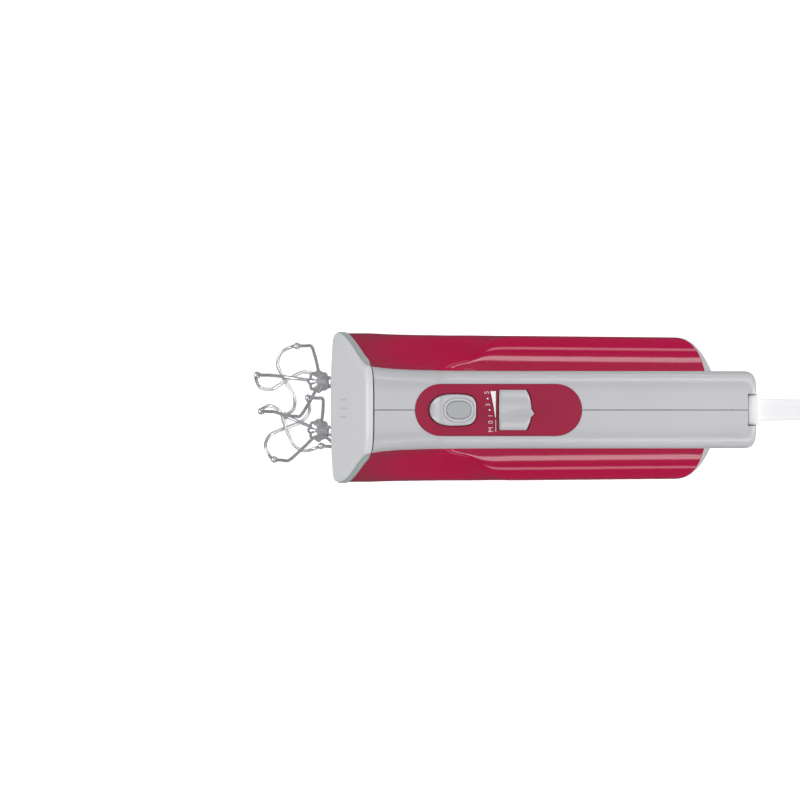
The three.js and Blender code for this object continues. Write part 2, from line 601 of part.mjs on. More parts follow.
// The worm: a single thread rolled on the front of the armature shaft, drawn as one skin whose radius
// follows the thread along and around the shaft.
function armatureShaft() {
  const pitch = Math.PI * WORM.module;
  const [around, perTurn] = [12, 7];
  const half = WORM.length / 2;
  const threadRadius = (x, angle) => {
    const turnPart = (((x / pitch - angle / (2 * Math.PI)) % 1) + 1) % 1;
    const away = Math.abs(turnPart - 0.5);
    const crest = THREE.MathUtils.clamp((away - 0.27) / 0.14, 0, 1);
    return lerp(2.2, WORM.pitchRadius + 0.85, crest);
  };
  const rings = [];
  const steps = Math.round((WORM.length / pitch) * perTurn);
  for (let i = 0; i <= steps; i++) {
    const x = -half + (WORM.length * i) / steps;
    const points = [];
    for (let j = 0; j < around; j++) {
      const angle = (2 * Math.PI * j) / around;
      const radius = threadRadius(x, angle);
      points.push([x, radius * Math.cos(angle), radius * Math.sin(angle)]);
    }
    rings.push(points);
  }
  const worm = toSolid(loft(rings));
  const steppedShaft = [
    [0, 9.5], [2.6, 9.5], [2.6, 13], [3.9, 14.5], [3.9, 104], [3, 104], [3, 132], [0, 132],
  ];
  return toGeometry(worm.add(toSolid(alongX(turned(steppedShaft, 12)))));
}

function placeGears() {
  for (const [name, side, phase] of [["right", 1, 0.5], ["left", -1, 0]]) {
    const spindle = place(`${name}_spindle`, spindleGeometry(), COLOURS.steel, 0.3, 0.9, drive);
    spindle.position.y = (side * AXIS_SPACING) / 2;
    const wheelPhase = (2 * Math.PI * phase) / WHEEL.teeth;
    const wheel = place(`${name}_worm_wheel`, wormWheelGeometry(1, wheelPhase), COLOURS.nylon, 0.5, 0, drive);
    wheel.position.set(0, (side * AXIS_SPACING) / 2, WORM.height);
    for (const [level, z] of [["lower", FRAME.lower], ["upper", FRAME.upper]]) {
      const bush = ring(7.5, SPINDLE.radius + GAP, z - 0.8, z + FRAME.plate - 0.2, 16);
      const mesh = place(`${name}_${level}_bush`, bush, COLOURS.brass, 0.4, 0.9, drive);
      mesh.position.y = (side * AXIS_SPACING) / 2;
    }
  }
}

function placeOnMotorAxis(name, geometry, colour, roughness, metalness) {
  const mesh = place(name, geometry, colour, roughness, metalness, drive);
  mesh.position.z = WORM.height;
  return mesh;
}

function placeArmature() {
  placeOnMotorAxis("armature_shaft", armatureShaft(), COLOURS.steel, 0.3, 0.9);

  const [slots, radius, root] = [10, 14.5, 11];
  const core = new THREE.Shape();
  for (let i = 0; i < slots; i++) {
    [[radius, 0.14], [radius, 0.86], [root, 0.94], [root, 1.06]].forEach(([r, part], k) => {
      const angle = (2 * Math.PI * (i + part)) / slots;
      const [x, y] = [r * Math.cos(angle), r * Math.sin(angle)];
      if (i === 0 && k === 0) core.moveTo(x, y);
      else core.lineTo(x, y);
    });
  }
  const hole = new THREE.Path();
  hole.absarc(0, 0, 4.2, 0, 2 * Math.PI, true);
  core.holes.push(hole);
  const { front, rear } = STATOR;
  const settings = { depth: rear - front, bevelEnabled: false, curveSegments: 8 };
  const stack = new THREE.ExtrudeGeometry(core, settings);
  placeOnMotorAxis("armature_core", alongX(stack.translate(0, 0, front)), COLOURS.darkSteel, 0.5, 0.8);

  const bundle = (z0, z1) => {
    const profile = [
      [4.2, z0], [9, z0], [11.2, z0 + 1.5], [11.2, z1 - 1.5], [9, z1], [4.2, z1], [4.2, z0],
    ];
    return alongX(turned(profile, 20));
  };
  placeOnMotorAxis("front_armature_winding", bundle(front - 5, front - GAP), COLOURS.copper, 0.4, 0.7);
  placeOnMotorAxis("rear_armature_winding", bundle(rear + GAP, rear + 6), COLOURS.copper, 0.4, 0.7);
  placeOnMotorAxis("commutator", alongX(ring(8.5, 4.2, 103, 116, 20)), COLOURS.copper, 0.3, 0.9);
}

// The fan: a disc with straight blades standing on it, towards the front of the motor.
function placeFan() {
  const disc = toSolid(alongX(ring(20, 4.2, 40, 42, 24)));
  const hub = toSolid(alongX(ring(7, 4.2, 34, 41, 24)));
  const blades = [];
  for (let i = 0; i < FAN_BLADES; i++) {
    const blade = boxBetween([34.5, 6.5, -0.7], [41, 19.4, 0.7]);
    blades.push(toSolid(blade.rotateX((2 * Math.PI * i) / FAN_BLADES)));
  }
  placeOnMotorAxis("cooling_fan", toGeometry(joinSolids(disc, hub, ...blades)), COLOURS.black, 0.5, 0);
}

function placeStator() {
  const { front, rear, radius, bore } = STATOR;
  const outline = [];
  const cornerRadius = radius / Math.cos(Math.PI / 8);
  for (let i = 0; i < 8; i++) {
    const angle = (Math.PI / 4) * (i + 0.5);
    outline.push([cornerRadius * Math.cos(angle), cornerRadius * Math.sin(angle)]);
  }
  const stack = alongX(plate(outline, front, rear));
  const slots = [[-1, -1], [-1, 1], [1, -1], [1, 1]].map(([a, b]) => {
    const [y0, y1] = a > 0 ? [11.2, 16.8] : [-16.8, -11.2];
    const [z0, z1] = b > 0 ? [11, 18.3] : [-18.3, -11];
    return boxBetween([front - 1, y0, z0], [rear + 1, y1, z1]);
  });
  const boreTool = alongX(rod(bore, front - 1, rear + 1, 24));
  const stator = cutSolids(toSolid(stack), toSolid(boreTool), ...slots.map(toSolid));
  placeOnMotorAxis("motor_stator", toGeometry(stator), COLOURS.darkSteel, 0.5, 0.8);

  for (const [name, side] of [["upper_field_coil", 1], ["lower_field_coil", -1]]) {
    const [z0, z1] = side > 0 ? [12.8, 18] : [-18, -12.8];
    const block = boxBetween([front - 5, -16.5, z0], [rear + 6, 16.5, z1]);
    const window = boxBetween([front - 0.6, -11.6, z0 - 1], [rear + 0.6, 11.6, z1 + 1]);
    placeOnMotorAxis(name, toGeometry(toSolid(block).subtract(toSolid(window))), COLOURS.copper, 0.4, 0.7);
  }
}

function placeMotorEnds() {
  const frontSeat = alongX(ring(7.5, 4.1, 14.8, 20, 20));
  placeOnMotorAxis("front_bearing", frontSeat, COLOURS.brass, 0.4, 0.9);
  placeOnMotorAxis("rear_bearing", alongX(ring(6.5, 3.2, 122, 128, 20)), COLOURS.brass, 0.4, 0.9);

  // A bridge across the rear of the motor: two legs beside the stator's end and a bar around the bearing.
  const bar = boxBetween([121, -22, -9], [130, 22, 9]);
  const legs = [18, -22].map((y) => boxBetween([96, y, -7], [130, y + 4, 7]));
  const seat = alongX(rod(6.8, 119, 132, 20));
  const bridge = joinSolids(toSolid(bar), ...legs.map(toSolid));
  const holes = [10, -30].map((y) => boxBetween([106.2, y, -3.8], [113.8, y + 20, 3.8]));
  const bracket = cutSolids(bridge, toSolid(seat), ...holes.map(toSolid));
  placeOnMotorAxis("rear_motor_bracket", toGeometry(bracket), COLOURS.black, 0.5, 0);

  for (const [name, side] of [["right", 1], ["left", -1]]) {
    const [near, far] = [11, 24];
    const holder = boxBetween([106.5, side > 0 ? near : -far, -3.5], [113.5, side > 0 ? far : -near, 3.5]);
    const channel = boxBetween([107.5, side > 0 ? 0 : -30, -2.5], [112.5, side > 0 ? 30 : 0, 2.5]);
    const sleeve = toSolid(holder).subtract(toSolid(channel));
    placeOnMotorAxis(`${name}_brush_holder`, toGeometry(sleeve), COLOURS.brass, 0.4, 0.9);
    const [start, end] = [8.8, 21];
    const brush = boxBetween([107.8, side > 0 ? start : -end, -2.2], [112.2, side > 0 ? end : -start, 2.2]);
    placeOnMotorAxis(`${name}_carbon_brush`, brush, COLOURS.carbon, 0.8, 0);
  }
}

// ---------- whisks ----------
// One wire of a whisk: out from the hub to the shoulder, down to the bottom corner, in along an S through
// the middle, and the same way back up on the far side.
function whiskWire(phase, hand, drop) {
  const { radius, hub, tip, swirl } = WHISK;
  const halfPath = [
    [5.4, hub - 4.4 - drop], [10, hub - 11 - drop], [15, hub - 20], [18.7, hub - 27.5], [radius, hub - 33],
    [radius, hub - 44], [radius, hub - 55], [radius, hub - 66], [19.3, hub - 71.5], [16.2, tip + 7.4],
    [10.5, tip + 3.8 + drop], [5, tip + 1.9 + drop],
  ];
  const bend = (r, z) => (z < hub - 60 ? hand * swirl * (1 - (r / radius) ** 4) : 0);
  const spot = ([r, z], start) => {
    const angle = start + bend(r, z);
    return new THREE.Vector3(r * Math.cos(angle), r * Math.sin(angle), z);
  };
  const down = halfPath.map((point) => spot(point, phase));
  const up = halfPath.map((point) => spot(point, phase + Math.PI)).reverse();
  const middle = new THREE.Vector3(0, 0, tip + 0.9 + drop);
  return new THREE.CatmullRomCurve3([...down, middle, ...up], false, "centripetal");
}

function beadAt(phase, depth) {
  const bead = new THREE.SphereGeometry(BEAD.radius, 6, 4);
  return bead.translate(WHISK.radius * Math.cos(phase), WHISK.radius * Math.sin(phase), WHISK.hub - depth);
}

function whiskShaft() {
  const { shaftTop, hub } = WHISK;
  return turned([[0, hub + 5.3], [2.9, hub + 5.3], [2.9, shaftTop - 1], [1.9, shaftTop], [0, shaftTop]], 16);
}

function whiskHub() {
  const profile = [[0, -5.2], [3, -4.8], [5.2, -2.6], [6, 0], [5.4, 2.6], [3.6, 4.6], [0, 5]];
  return turned(profile, 16).translate(0, 0, WHISK.hub);
}

function placeWhisks() {
  for (const [name, side] of [["right", 1], ["left", -1]]) {
    const whisk = new THREE.Group();
    whisk.position.y = (side * AXIS_SPACING) / 2;
    drive.add(whisk);
    place(`${name}_whisk_shaft`, whiskShaft(), COLOURS.steel, 0.2, 0.95, whisk);
    place(`${name}_whisk_hub`, whiskHub(), COLOURS.steel, 0.3, 0.9, whisk);
    const phase = WHISK_PHASE[name];
    for (const [loop, turn, drop] of [["a", 0, 0], ["b", Math.PI / 2, 2.4]]) {
      const strand = toSolid(wire(whiskWire(phase + turn, side, drop), WHISK.wire, 38, 5));
      const beads = [0, Math.PI].map((half) => toSolid(beadAt(phase + turn + half, BEAD.depth)));
      const loopGeometry = toGeometry(joinSolids(strand, ...beads));
      place(`${name}_whisk_loop_${loop}`, loopGeometry, COLOURS.steel, 0.2, 0.95, whisk);
    }
  }
}

// ---------- cord ----------
function placeCord() {
  const collar = boxBetween([75.9, -8, -7.9], [81.6, 8, 8.4]);
  const { end, rootRadius, endRadius, collarFront } = RELIEF;
  const profile = [[0, collarFront], [rootRadius, collarFront], [rootRadius, 82], [endRadius, end], [0, end]];
  const sleeve = alongX(turned(profile, 16));
  place("strain_relief", toGeometry(toSolid(sleeve).add(toSolid(collar))), COLOURS.white, 0.5, 0);

  const lead = alongX(rod(CORD.radius, -24.6, collarFront - GAP, 10));
  place("handle_lead", lead, COLOURS.white, 0.5, 0);

  // Straight out, round a bend, straight down, and round onto the surface beside the coil.
  const { dropX, bend, radius } = CORD;
  const layZ = SURFACE_Z + radius + COIL.lift;
  const points = [[RELIEF.end + GAP, 0, 0], [dropX - bend, 0, 0]];
  for (const turn of [0.25, 0.5, 0.75, 1].map((t) => (t * Math.PI) / 2)) {
    points.push([dropX - bend + bend * Math.sin(turn), 0, -bend + bend * Math.cos(turn)]);
  }
  for (let z = -65; z > layZ + bend + 20; z -= 35) points.push([dropX, 0, z]);
  for (const turn of [0, 0.25, 0.5, 0.75, 1].map((t) => (t * Math.PI) / 2)) {
    const out = bend * (1 - Math.cos(turn));
    const z = layZ + bend * (1 - Math.sin(turn));
    points.push([dropX + out * Math.cos(ARRIVAL), out * Math.sin(ARRIVAL), z]);
  }
  const route = new THREE.CatmullRomCurve3(points.map((p) => new THREE.Vector3(...p)), false, "centripetal");
  const tube = wire(route, radius, 20, CORD.sides);
  const { x, y, inner, outer, height, lift } = COIL;
  const corner = 2.5;
  const coilProfile = [
    [inner + corner, 0], [outer - corner, 0], [outer, corner], [outer, height - corner],
    [outer - corner, height], [inner + corner, height], [inner, height - corner], [inner, corner],
    [inner + corner, 0],
  ];
  const coil = turned(coilProfile, 24).translate(x, y, SURFACE_Z + lift);
  const clearance = toSolid(wire(route, radius + GAP, 20, CORD.sides));
  place("power_cord", tube, COLOURS.white, 0.5, 0);
  place("cord_coil", toGeometry(toSolid(coil).subtract(clearance)), COLOURS.white, 0.5, 0);

  // A flat band around one side of the coil.
  const [tieHalf, tieThick] = [3, 0.8];
  const [low, high] = [SURFACE_Z, SURFACE_Z + lift + height + GAP + tieThick];
  const slack = 2 * GAP;
  const band = boxBetween([inner - slack - tieThick, -tieHalf, low], [outer + GAP + tieThick, tieHalf, high]);
  const hole = boxBetween([inner - slack, -9, low + tieThick], [outer + GAP, 9, high - tieThick]);
  const tie = toSolid(band).subtract(toSolid(hole)).translate([x, y, 0]);
  place("cord_tie", toGeometry(tie), COLOURS.black, 0.6, 0);

  placePlug(SURFACE_Z + lift + height + CORD.radius * 2 + GAP);
}

// A slim two-pin plug that lies flat on top of the coil, its pins towards -Y.
function placePlug(z) {
  const { x, y, length, thick, pinSpacing, pinRadius, pinLength } = PLUG;
  const end = length / 2;
  const side = [[-end, 5], [-6, 8], [10, 12.5], [end, 13]];
  const outline = [...side.map(([along, half]) => [along, -half]), ...side.reverse()];
  const body = toSolid(plate(outline, -thick / 2, thick / 2));
  const pin = alongX(rod(pinRadius, end - 1, end + pinLength, 10));
  const pins = [-1, 1].map((hand) => toSolid(pin.clone().translate(0, (hand * pinSpacing) / 2, 0)));
  const plug = joinSolids(body, ...pins).rotate([0, 0, -90]).translate([x, y, z]);
  place("plug", toGeometry(plug), COLOURS.white, 0.5, 0);
}

placeBodyShells();
placeHandleHalves();
placeScrews();
placeNose();
placeRearCover();
placeRatingPlate();
placeControlPanel();
placeEjector();
placeSpeedKnob();
placeSwitch();
placeGearFrame();
placeGears();
placeArmature();
placeFan();
placeStator();
placeMotorEnds();
placeWhisks();
placeCord();

export default mixer;
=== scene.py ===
"""The looks of a hand mixer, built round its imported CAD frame.

Shapes are worked out in millimetres in the CAD frame, nose towards -X and +Z up, and scaled to metres
when a mesh is made.
"""

import math

import bpy
import numpy as np
from mathutils import Matrix, Vector


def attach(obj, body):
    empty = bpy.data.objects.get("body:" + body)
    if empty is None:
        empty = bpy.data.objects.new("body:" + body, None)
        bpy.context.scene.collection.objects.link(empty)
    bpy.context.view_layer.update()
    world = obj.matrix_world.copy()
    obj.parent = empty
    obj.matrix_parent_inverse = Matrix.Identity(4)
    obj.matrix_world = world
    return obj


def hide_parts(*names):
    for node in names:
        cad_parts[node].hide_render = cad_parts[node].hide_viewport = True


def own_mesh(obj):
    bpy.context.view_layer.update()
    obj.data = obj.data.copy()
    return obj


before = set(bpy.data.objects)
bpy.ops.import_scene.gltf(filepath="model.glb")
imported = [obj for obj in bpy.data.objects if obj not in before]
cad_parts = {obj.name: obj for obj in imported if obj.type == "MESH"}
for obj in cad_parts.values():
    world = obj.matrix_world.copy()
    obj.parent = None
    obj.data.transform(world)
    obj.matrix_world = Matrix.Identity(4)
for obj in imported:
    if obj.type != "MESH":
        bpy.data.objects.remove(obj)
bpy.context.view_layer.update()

MM = 0.001

# ---------- driving dimensions, the same as the CAD part's, in millimetres ----------
WALL = 2.5
GAP = 0.3
HANDLE = {"top": 14, "half": 19.8, "rear": 80.2, "corner": 5}
BODY = {"top": -46, "bottom": -122, "half": 38, "rear_half": 37.2, "rear_start": 44.6, "rear": 64.9}
SHOULDERS = (-70, -42)
FINGER_GAP = {"front": -82, "radius": 16, "middle": -30}
SEAM = {"x": -118, "z": 4}
NOSE = {"top_x": -119.8, "top_z": 12, "bottom_x": -139.8, "bottom_z": -119, "face": 3}
RIM_DEPTH = {"upper": 4.2, "middle": 6.3, "lower": 4.7, "upper_fade": (6, -20), "lower_fade": (-113, -98)}
NOSE_BOW = 0.8
CHIN_X = -136.3
RIM_PROUD = 0.3
VENT = {"upper": (48.8, -62.7), "lower": (13.2, -122), "joint": 0.36}
PANEL = {"front": -94.3, "rear": -9.2, "half": 13.2, "bottom": 10.4, "lift": 0.35}
BUTTON = {"front": -87.2, "rear": -63.2, "half": 8, "bottom": 6.2, "top": 17.4}
PAD = {"front": -78, "rear": -66, "half": 4.4, "top": 17.75}
KNOB = {"front": -51.5, "rear": -37.4, "radius": 14.5, "pivot": 3.4, "half": 10.3, "ridge": -0.115}
TILT = math.radians(14.5)
PORT = (-128.4, 0, -122)
AXIS_SPACING = 27
WHISK = {"hub": -74, "tip": -157, "radius": 20, "wire": 0.9, "bead": 2, "bead_depth": 66, "swirl": 0.7}
SIDES = {"right": 1, "left": -1}
WHISK_PHASE = {"right": math.radians(80.5), "left": math.radians(60.5)}
FLOOR_Z = -276.3
SCREW_BORES = [(-98, -104), (31, -68), (-104.6, 2.3), (62, -7.4)]


# ---------- small tools ----------
def lerp(a, b, t):
    return a + (b - a) * t


def smooth(t):
    t = np.clip(t, 0, 1)
    return t * t * (3 - 2 * t)


def faded(value, span):
    """0 before the span, 1 after it, and a smooth rise in between."""
    return smooth((value - span[0]) / (span[1] - span[0]))


def new_object(name, data):
    obj = bpy.data.objects.new(name, data)
    bpy.context.scene.collection.objects.link(obj)
    return obj


def solid(name, points, faces):
    """A mesh object from points in millimetres."""
    mesh = bpy.data.meshes.new(name)
    mesh.from_pydata((np.asarray(points, float) * MM).tolist(), [], [list(map(int, f)) for f in faces])
    mesh.update()
    return new_object(name, mesh)


def finish_mesh(obj, angle=32):
    """Smooth shading, with edges sharper than the angle kept crisp."""
    obj.data.shade_smooth()
    obj.data.set_sharp_from_angle(angle=math.radians(angle))
    return obj


def join_parts(name, parts):
    """One object from several pairs of points and faces."""
    points, faces = [], []
    for more_points, more_faces in parts:
        base = len(points)
        points.extend(np.asarray(more_points, float).tolist())
        faces.extend([[int(i) + base for i in f] for f in more_faces])
    return solid(name, points, faces)


def loft_faces(rings, closed=False):
    """Points and faces of a skin through rings of equal length, with end caps or closed on itself."""
    rings = [np.asarray(r, float) for r in rings]
    count, n = len(rings[0]), len(rings)
    points = np.concatenate(rings)
    faces = []
    for i in range(n if closed else n - 1):
        a, b = i * count, ((i + 1) % n) * count
        for j in range(count):
            k = (j + 1) % count
            faces.append((a + j, a + k, b + k, b + j))
    if not closed:
        middles = [rings[0].mean(0), rings[-1].mean(0)]
        points = np.concatenate([points, middles])
        last = (n - 1) * count
        for j in range(count):
            k = (j + 1) % count
            faces.append((n * count, k, j))
            faces.append((n * count + 1, last + j, last + k))
    return points, faces


def face_outwards(obj):
    """Turns a closed mesh right side out."""
    mesh = obj.data
    mesh.calc_loop_triangles()
    volume = 0.0
    for t in mesh.loop_triangles:
        a, b, c = (mesh.vertices[i].co for i in t.vertices)
        volume += a.dot(b.cross(c))
    if volume < 0:
        mesh.flip_normals()
    return obj


def skinned(name, parts, angle=32):
    """A finished piece from pairs of points and faces."""
    return finish_mesh(face_outwards(join_parts(name, parts)), angle)


def lofted(name, rings, closed=False, angle=32):
    return skinned(name, [loft_faces(rings, closed)], angle)


def lathe_faces(profile, steps=48, ribs=0, rib_depth=0.0, closed=False):
    """Points and faces turned about Z from (radius, z) pairs; ribs ripple the radius round the axis."""
    turns = np.arange(steps) / steps * 2 * math.pi
    ripple = 1 + rib_depth * np.cos(ribs * turns)
    rings = [np.stack([r * ripple * np.cos(turns), r * ripple * np.sin(turns), np.full(steps, z)], 1)
             for r, z in profile]
    return loft_faces(rings, closed=closed)


def tube_faces(path, radius, sides=16):
    """Points and faces of a round wire along a path, with rounded ends."""
    path = np.asarray(path, float)
    tangents = np.gradient(path, axis=0)
    tangents /= np.linalg.norm(tangents, axis=1)[:, None]
    side = np.cross(tangents[0], [0.3, 0.5, 0.8])
    side /= np.linalg.norm(side)
    turns = np.arange(sides) / sides * 2 * math.pi
    rings = []
    for point, tangent in zip(path, tangents):
        side = side - tangent * side.dot(tangent)
        side /= np.linalg.norm(side)
        other = np.cross(tangent, side)
        rings.append(point + radius * (np.outer(np.cos(turns), side) + np.outer(np.sin(turns), other)))
    return loft_faces(rings)


def tool(points, faces):
    return face_outwards(solid("tool", points, faces))


def box_tool(low, high):
    x0, y0, z0 = low
    x1, y1, z1 = high
    rings = [[(x, y0, z0), (x, y1, z0), (x, y1, z1), (x, y0, z1)] for x in (x0, x1)]
    return tool(*loft_faces(rings))


def prism_tool(outline, half_width):
    """A side profile of (x, z) points, given a width along Y."""
    rings = [[(x, y, z) for x, z in outline] for y in (-half_width, half_width)]
    return tool(*loft_faces(rings))


def plate_tool(outline, z0, z1):
    rings = [[(x, y, z) for x, y in outline] for z in (z0, z1)]
    return tool(*loft_faces(rings))


def apply_modifiers(obj):
    bpy.context.view_layer.update()
    evaluated = obj.evaluated_get(bpy.context.evaluated_depsgraph_get())
    mesh = bpy.data.meshes.new_from_object(evaluated)
    obj.modifiers.clear()
    obj.data = mesh
    return obj


def cut(obj, tools, operation="DIFFERENCE"):
    """Cuts obj by closed tools, which are then removed."""
    for tool in tools:
        step = obj.modifiers.new("cut", "BOOLEAN")
        step.object, step.operation, step.solver = tool, operation, "MANIFOLD"
    apply_modifiers(obj)
    for tool in tools:
        bpy.data.objects.remove(tool)
    return obj


def relaxed(obj, rounds=4):
    """Evens out the small ripples that a grid leaves in a skin."""
    step = obj.modifiers.new("relax", "SMOOTH")
    step.factor, step.iterations = 0.5, rounds
    return apply_modifiers(obj)


def copy_of(obj, name):
    return new_object(name, obj.data.copy())


# ---------- camera ----------
def make_camera():
    """Nearly straight above the mixer, far away, as a catalogue picture is taken."""
    data = bpy.data.cameras.new("camera")
    data.lens, data.sensor_width = 220.6, 36
    data.clip_start, data.clip_end = 0.1, 20
    camera = new_object("camera", data)
    camera.location = (-0.102, 0.0276, 2.514)
    camera.rotation_euler = (-0.009, 0, 0)
    bpy.context.scene.camera = camera


make_camera()

# ---------- cord ----------
CORD = {"diameter": 7, "exit_x": 125.3, "bend_start": 128, "bend": 30, "lay_z": -270.9}
COIL = {"x": 206.7, "y": -17.2, "outer": 42, "inner": 35, "layer": 7}
PLUG = {"x": 224.7, "tail_y": -20.5, "z": -253.1}
ARRIVAL = math.radians(35)
LEAVE_TURN = 1380
LAST_BEND = 30


def ramp(x, start, end):
    return float(smooth((x - start) / (end - start)))


def coil_point(turned):
    """A point of the winding after turning clockwise by so many degrees from where the cord arrives."""
    radius = lerp(COIL["outer"], COIL["inner"], ramp(turned, 300, 360) - ramp(turned, 1080, 1140))
    layers = ramp(turned, 660, 720) + ramp(turned, 1320, LEAVE_TURN)
    angle = math.radians(90 - turned) + ARRIVAL
    return (COIL["x"] + radius * math.cos(angle), COIL["y"] + radius * math.sin(angle),
            CORD["lay_z"] + layers * COIL["layer"])


def cord_route():
    """The cord's points: out of the sleeve, down, round the coil, and off it to the plug."""
    bend, start = CORD["bend"], CORD["bend_start"]
    turns = [step / 6 * math.pi / 2 for step in range(7)]
    points = [(CORD["exit_x"], 0, 0)]
    points += [(start + bend * math.sin(turn), 0, bend * (math.cos(turn) - 1)) for turn in turns]
    drop_x, foot = start + bend, CORD["lay_z"] + bend
    points += [(drop_x, 0, lerp(-bend, foot, part)) for part in (0.15, 0.3, 0.45, 0.6, 0.75, 0.9)]
    for turn in turns[:-1]:
        out = bend * (1 - math.cos(turn))
        points.append((drop_x + out * math.cos(ARRIVAL), out * math.sin(ARRIVAL),
                       foot - bend * math.sin(turn)))
    points += [coil_point(turned) for turned in range(0, LEAVE_TURN + 1, 15)]
    last = math.radians(90 - LEAVE_TURN) + ARRIVAL
    reach = COIL["outer"] - LAST_BEND
    hub = (COIL["x"] + reach * math.cos(last), COIL["y"] + reach * math.sin(last))
    z0 = coil_point(LEAVE_TURN)[2]
    start_angle = math.degrees(last) % 360
    for step in range(1, 11):
        part = step / 10
        angle = math.radians(lerp(start_angle, 0, part))
        points.append((hub[0] + LAST_BEND * math.cos(angle), hub[1] + LAST_BEND * math.sin(angle),
                       lerp(z0, PLUG["z"], float(smooth(part)))))
    ends = (lerp(hub[1], PLUG["tail_y"], 0.5), PLUG["tail_y"] - 2)
    return points + [(hub[0] + LAST_BEND, y, PLUG["z"]) for y in ends]


def make_cord():
    curve = bpy.data.curves.new("power_cord_piece", "CURVE")
    curve.dimensions = "3D"
    curve.bevel_depth = 1.0  # the points' own radius gives the cord's, and keeps its bound box true
    curve.bevel_resolution = 6
    curve.resolution_u = 5
    curve.use_fill_caps = True
    spline = curve.splines.new("BEZIER")
    points = cord_route()
    spline.bezier_points.add(len(points) - 1)
    for knot, point in zip(spline.bezier_points, points):
        knot.co = Vector(point) * MM
        knot.handle_left_type = knot.handle_right_type = "AUTO"
        knot.radius = CORD["diameter"] / 2 * MM
    cord = new_object("power_cord_piece", curve)
    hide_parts("power_cord", "cord_coil")
    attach(cord, "housing")
    return cord


# ---------- materials ----------
class Nodes:
    """A material's node tree with short ways to add nodes and links."""

    def __init__(self, name):
        self.material = bpy.data.materials.new(name)
        self.material.use_nodes = True
        self.tree = self.material.node_tree
        self.shader = self.tree.nodes["Principled BSDF"]
        self.coords = self.tree.nodes.new("ShaderNodeTexCoord").outputs["Object"]

    def add(self, kind, inputs=None, **settings):
        node = self.tree.nodes.new(kind)
        for key, value in settings.items():
            setattr(node, key, value)
        for key, value in (inputs or {}).items():
            self.set(node.inputs[key], value)
        return node

    def set(self, socket, value):
        if isinstance(value, bpy.types.NodeSocket):
            self.tree.links.new(value, socket)
        else:
            socket.default_value = value

    def shade(self, values):
        for key, value in values.items():
            self.set(self.shader.inputs[key], value)

    def noise(self, scale, detail=3, stretch=(1, 1, 1)):
        mapping = self.add("ShaderNodeMapping", {"Vector": self.coords, "Scale": stretch})
        return self.add("ShaderNodeTexNoise", {"Vector": mapping.outputs[0], "Scale": scale,
                                               "Detail": detail}).outputs["Fac"]

    def between(self, fac, low, high, from_min=0.3, from_max=0.7):
        return self.add("ShaderNodeMapRange", {"Value": fac, "From Min": from_min, "From Max": from_max,
                                               "To Min": low, "To Max": high}).outputs["Result"]

    def mix(self, fac, first, second):
        node = self.add("ShaderNodeMix", {}, data_type="RGBA")
        self.set(node.inputs["Factor"], fac)
        self.set(node.inputs[6], first)
        self.set(node.inputs[7], second)
        return node.outputs[2]


def rgb(red, green, blue):
    """A linear colour from display values of 0 to 255."""
    def linear(v):
        v /= 255
        return v / 12.92 if v <= 0.04045 else ((v + 0.055) / 1.055) ** 2.4
    return (linear(red), linear(green), linear(blue), 1.0)


def tinted(colour, factor):
    return tuple(min(1.0, c * factor) for c in colour[:3]) + (1.0,)


def finish_material(name, colour, roughness, metallic=0.0, mottle=0.05, cloud=30, grain=900, bump=0.02,
                    stretch=(1, 1, 1), wear=0.12, rounding=0.35, sheen=0.0, specular=0.5):
    """Moulded plastic or metal: clouded colour, rougher and smoother patches, a fine grain, and edges that
    are softened and painted lighter, a painted highlight along every edge. Sizes are in repeats per metre,
    rounding in millimetres."""
    n = Nodes(name)
    patches = n.noise(cloud, 2)
    fine = n.noise(grain, 4, stretch)
    body = n.mix(n.between(patches, 0, 1), tinted(colour, 1 - mottle), tinted(colour, 1 + mottle))
    bevel = n.add("ShaderNodeBevel", {"Radius": rounding * MM}, samples=4)
    edge = n.add("ShaderNodeVectorMath", {0: bevel.outputs[0]}, operation="DOT_PRODUCT")
    geometry = n.add("ShaderNodeNewGeometry")
    n.set(edge.inputs[1], geometry.outputs["Normal"])
    # painted highlight: where the rounded normal turns away from the face, the colour is mixed towards a 1.3
    # times lighter one
    painted_edge_highlight = n.between(edge.outputs["Value"], wear, 0, 0.8, 0.99)
    n.shade({"Base Color": n.mix(painted_edge_highlight, body, tinted(colour, 1.3)),
             "Roughness": n.between(fine, roughness * 0.82, roughness * 1.18)})
    raised = n.add("ShaderNodeBump", {"Height": fine, "Strength": bump, "Distance": 0.0004,
                                      "Normal": bevel.outputs[0]})
    n.shade({"Normal": raised.outputs[0], "Metallic": metallic, "Sheen Weight": sheen,
             "Specular IOR Level": specular})
    return n.material


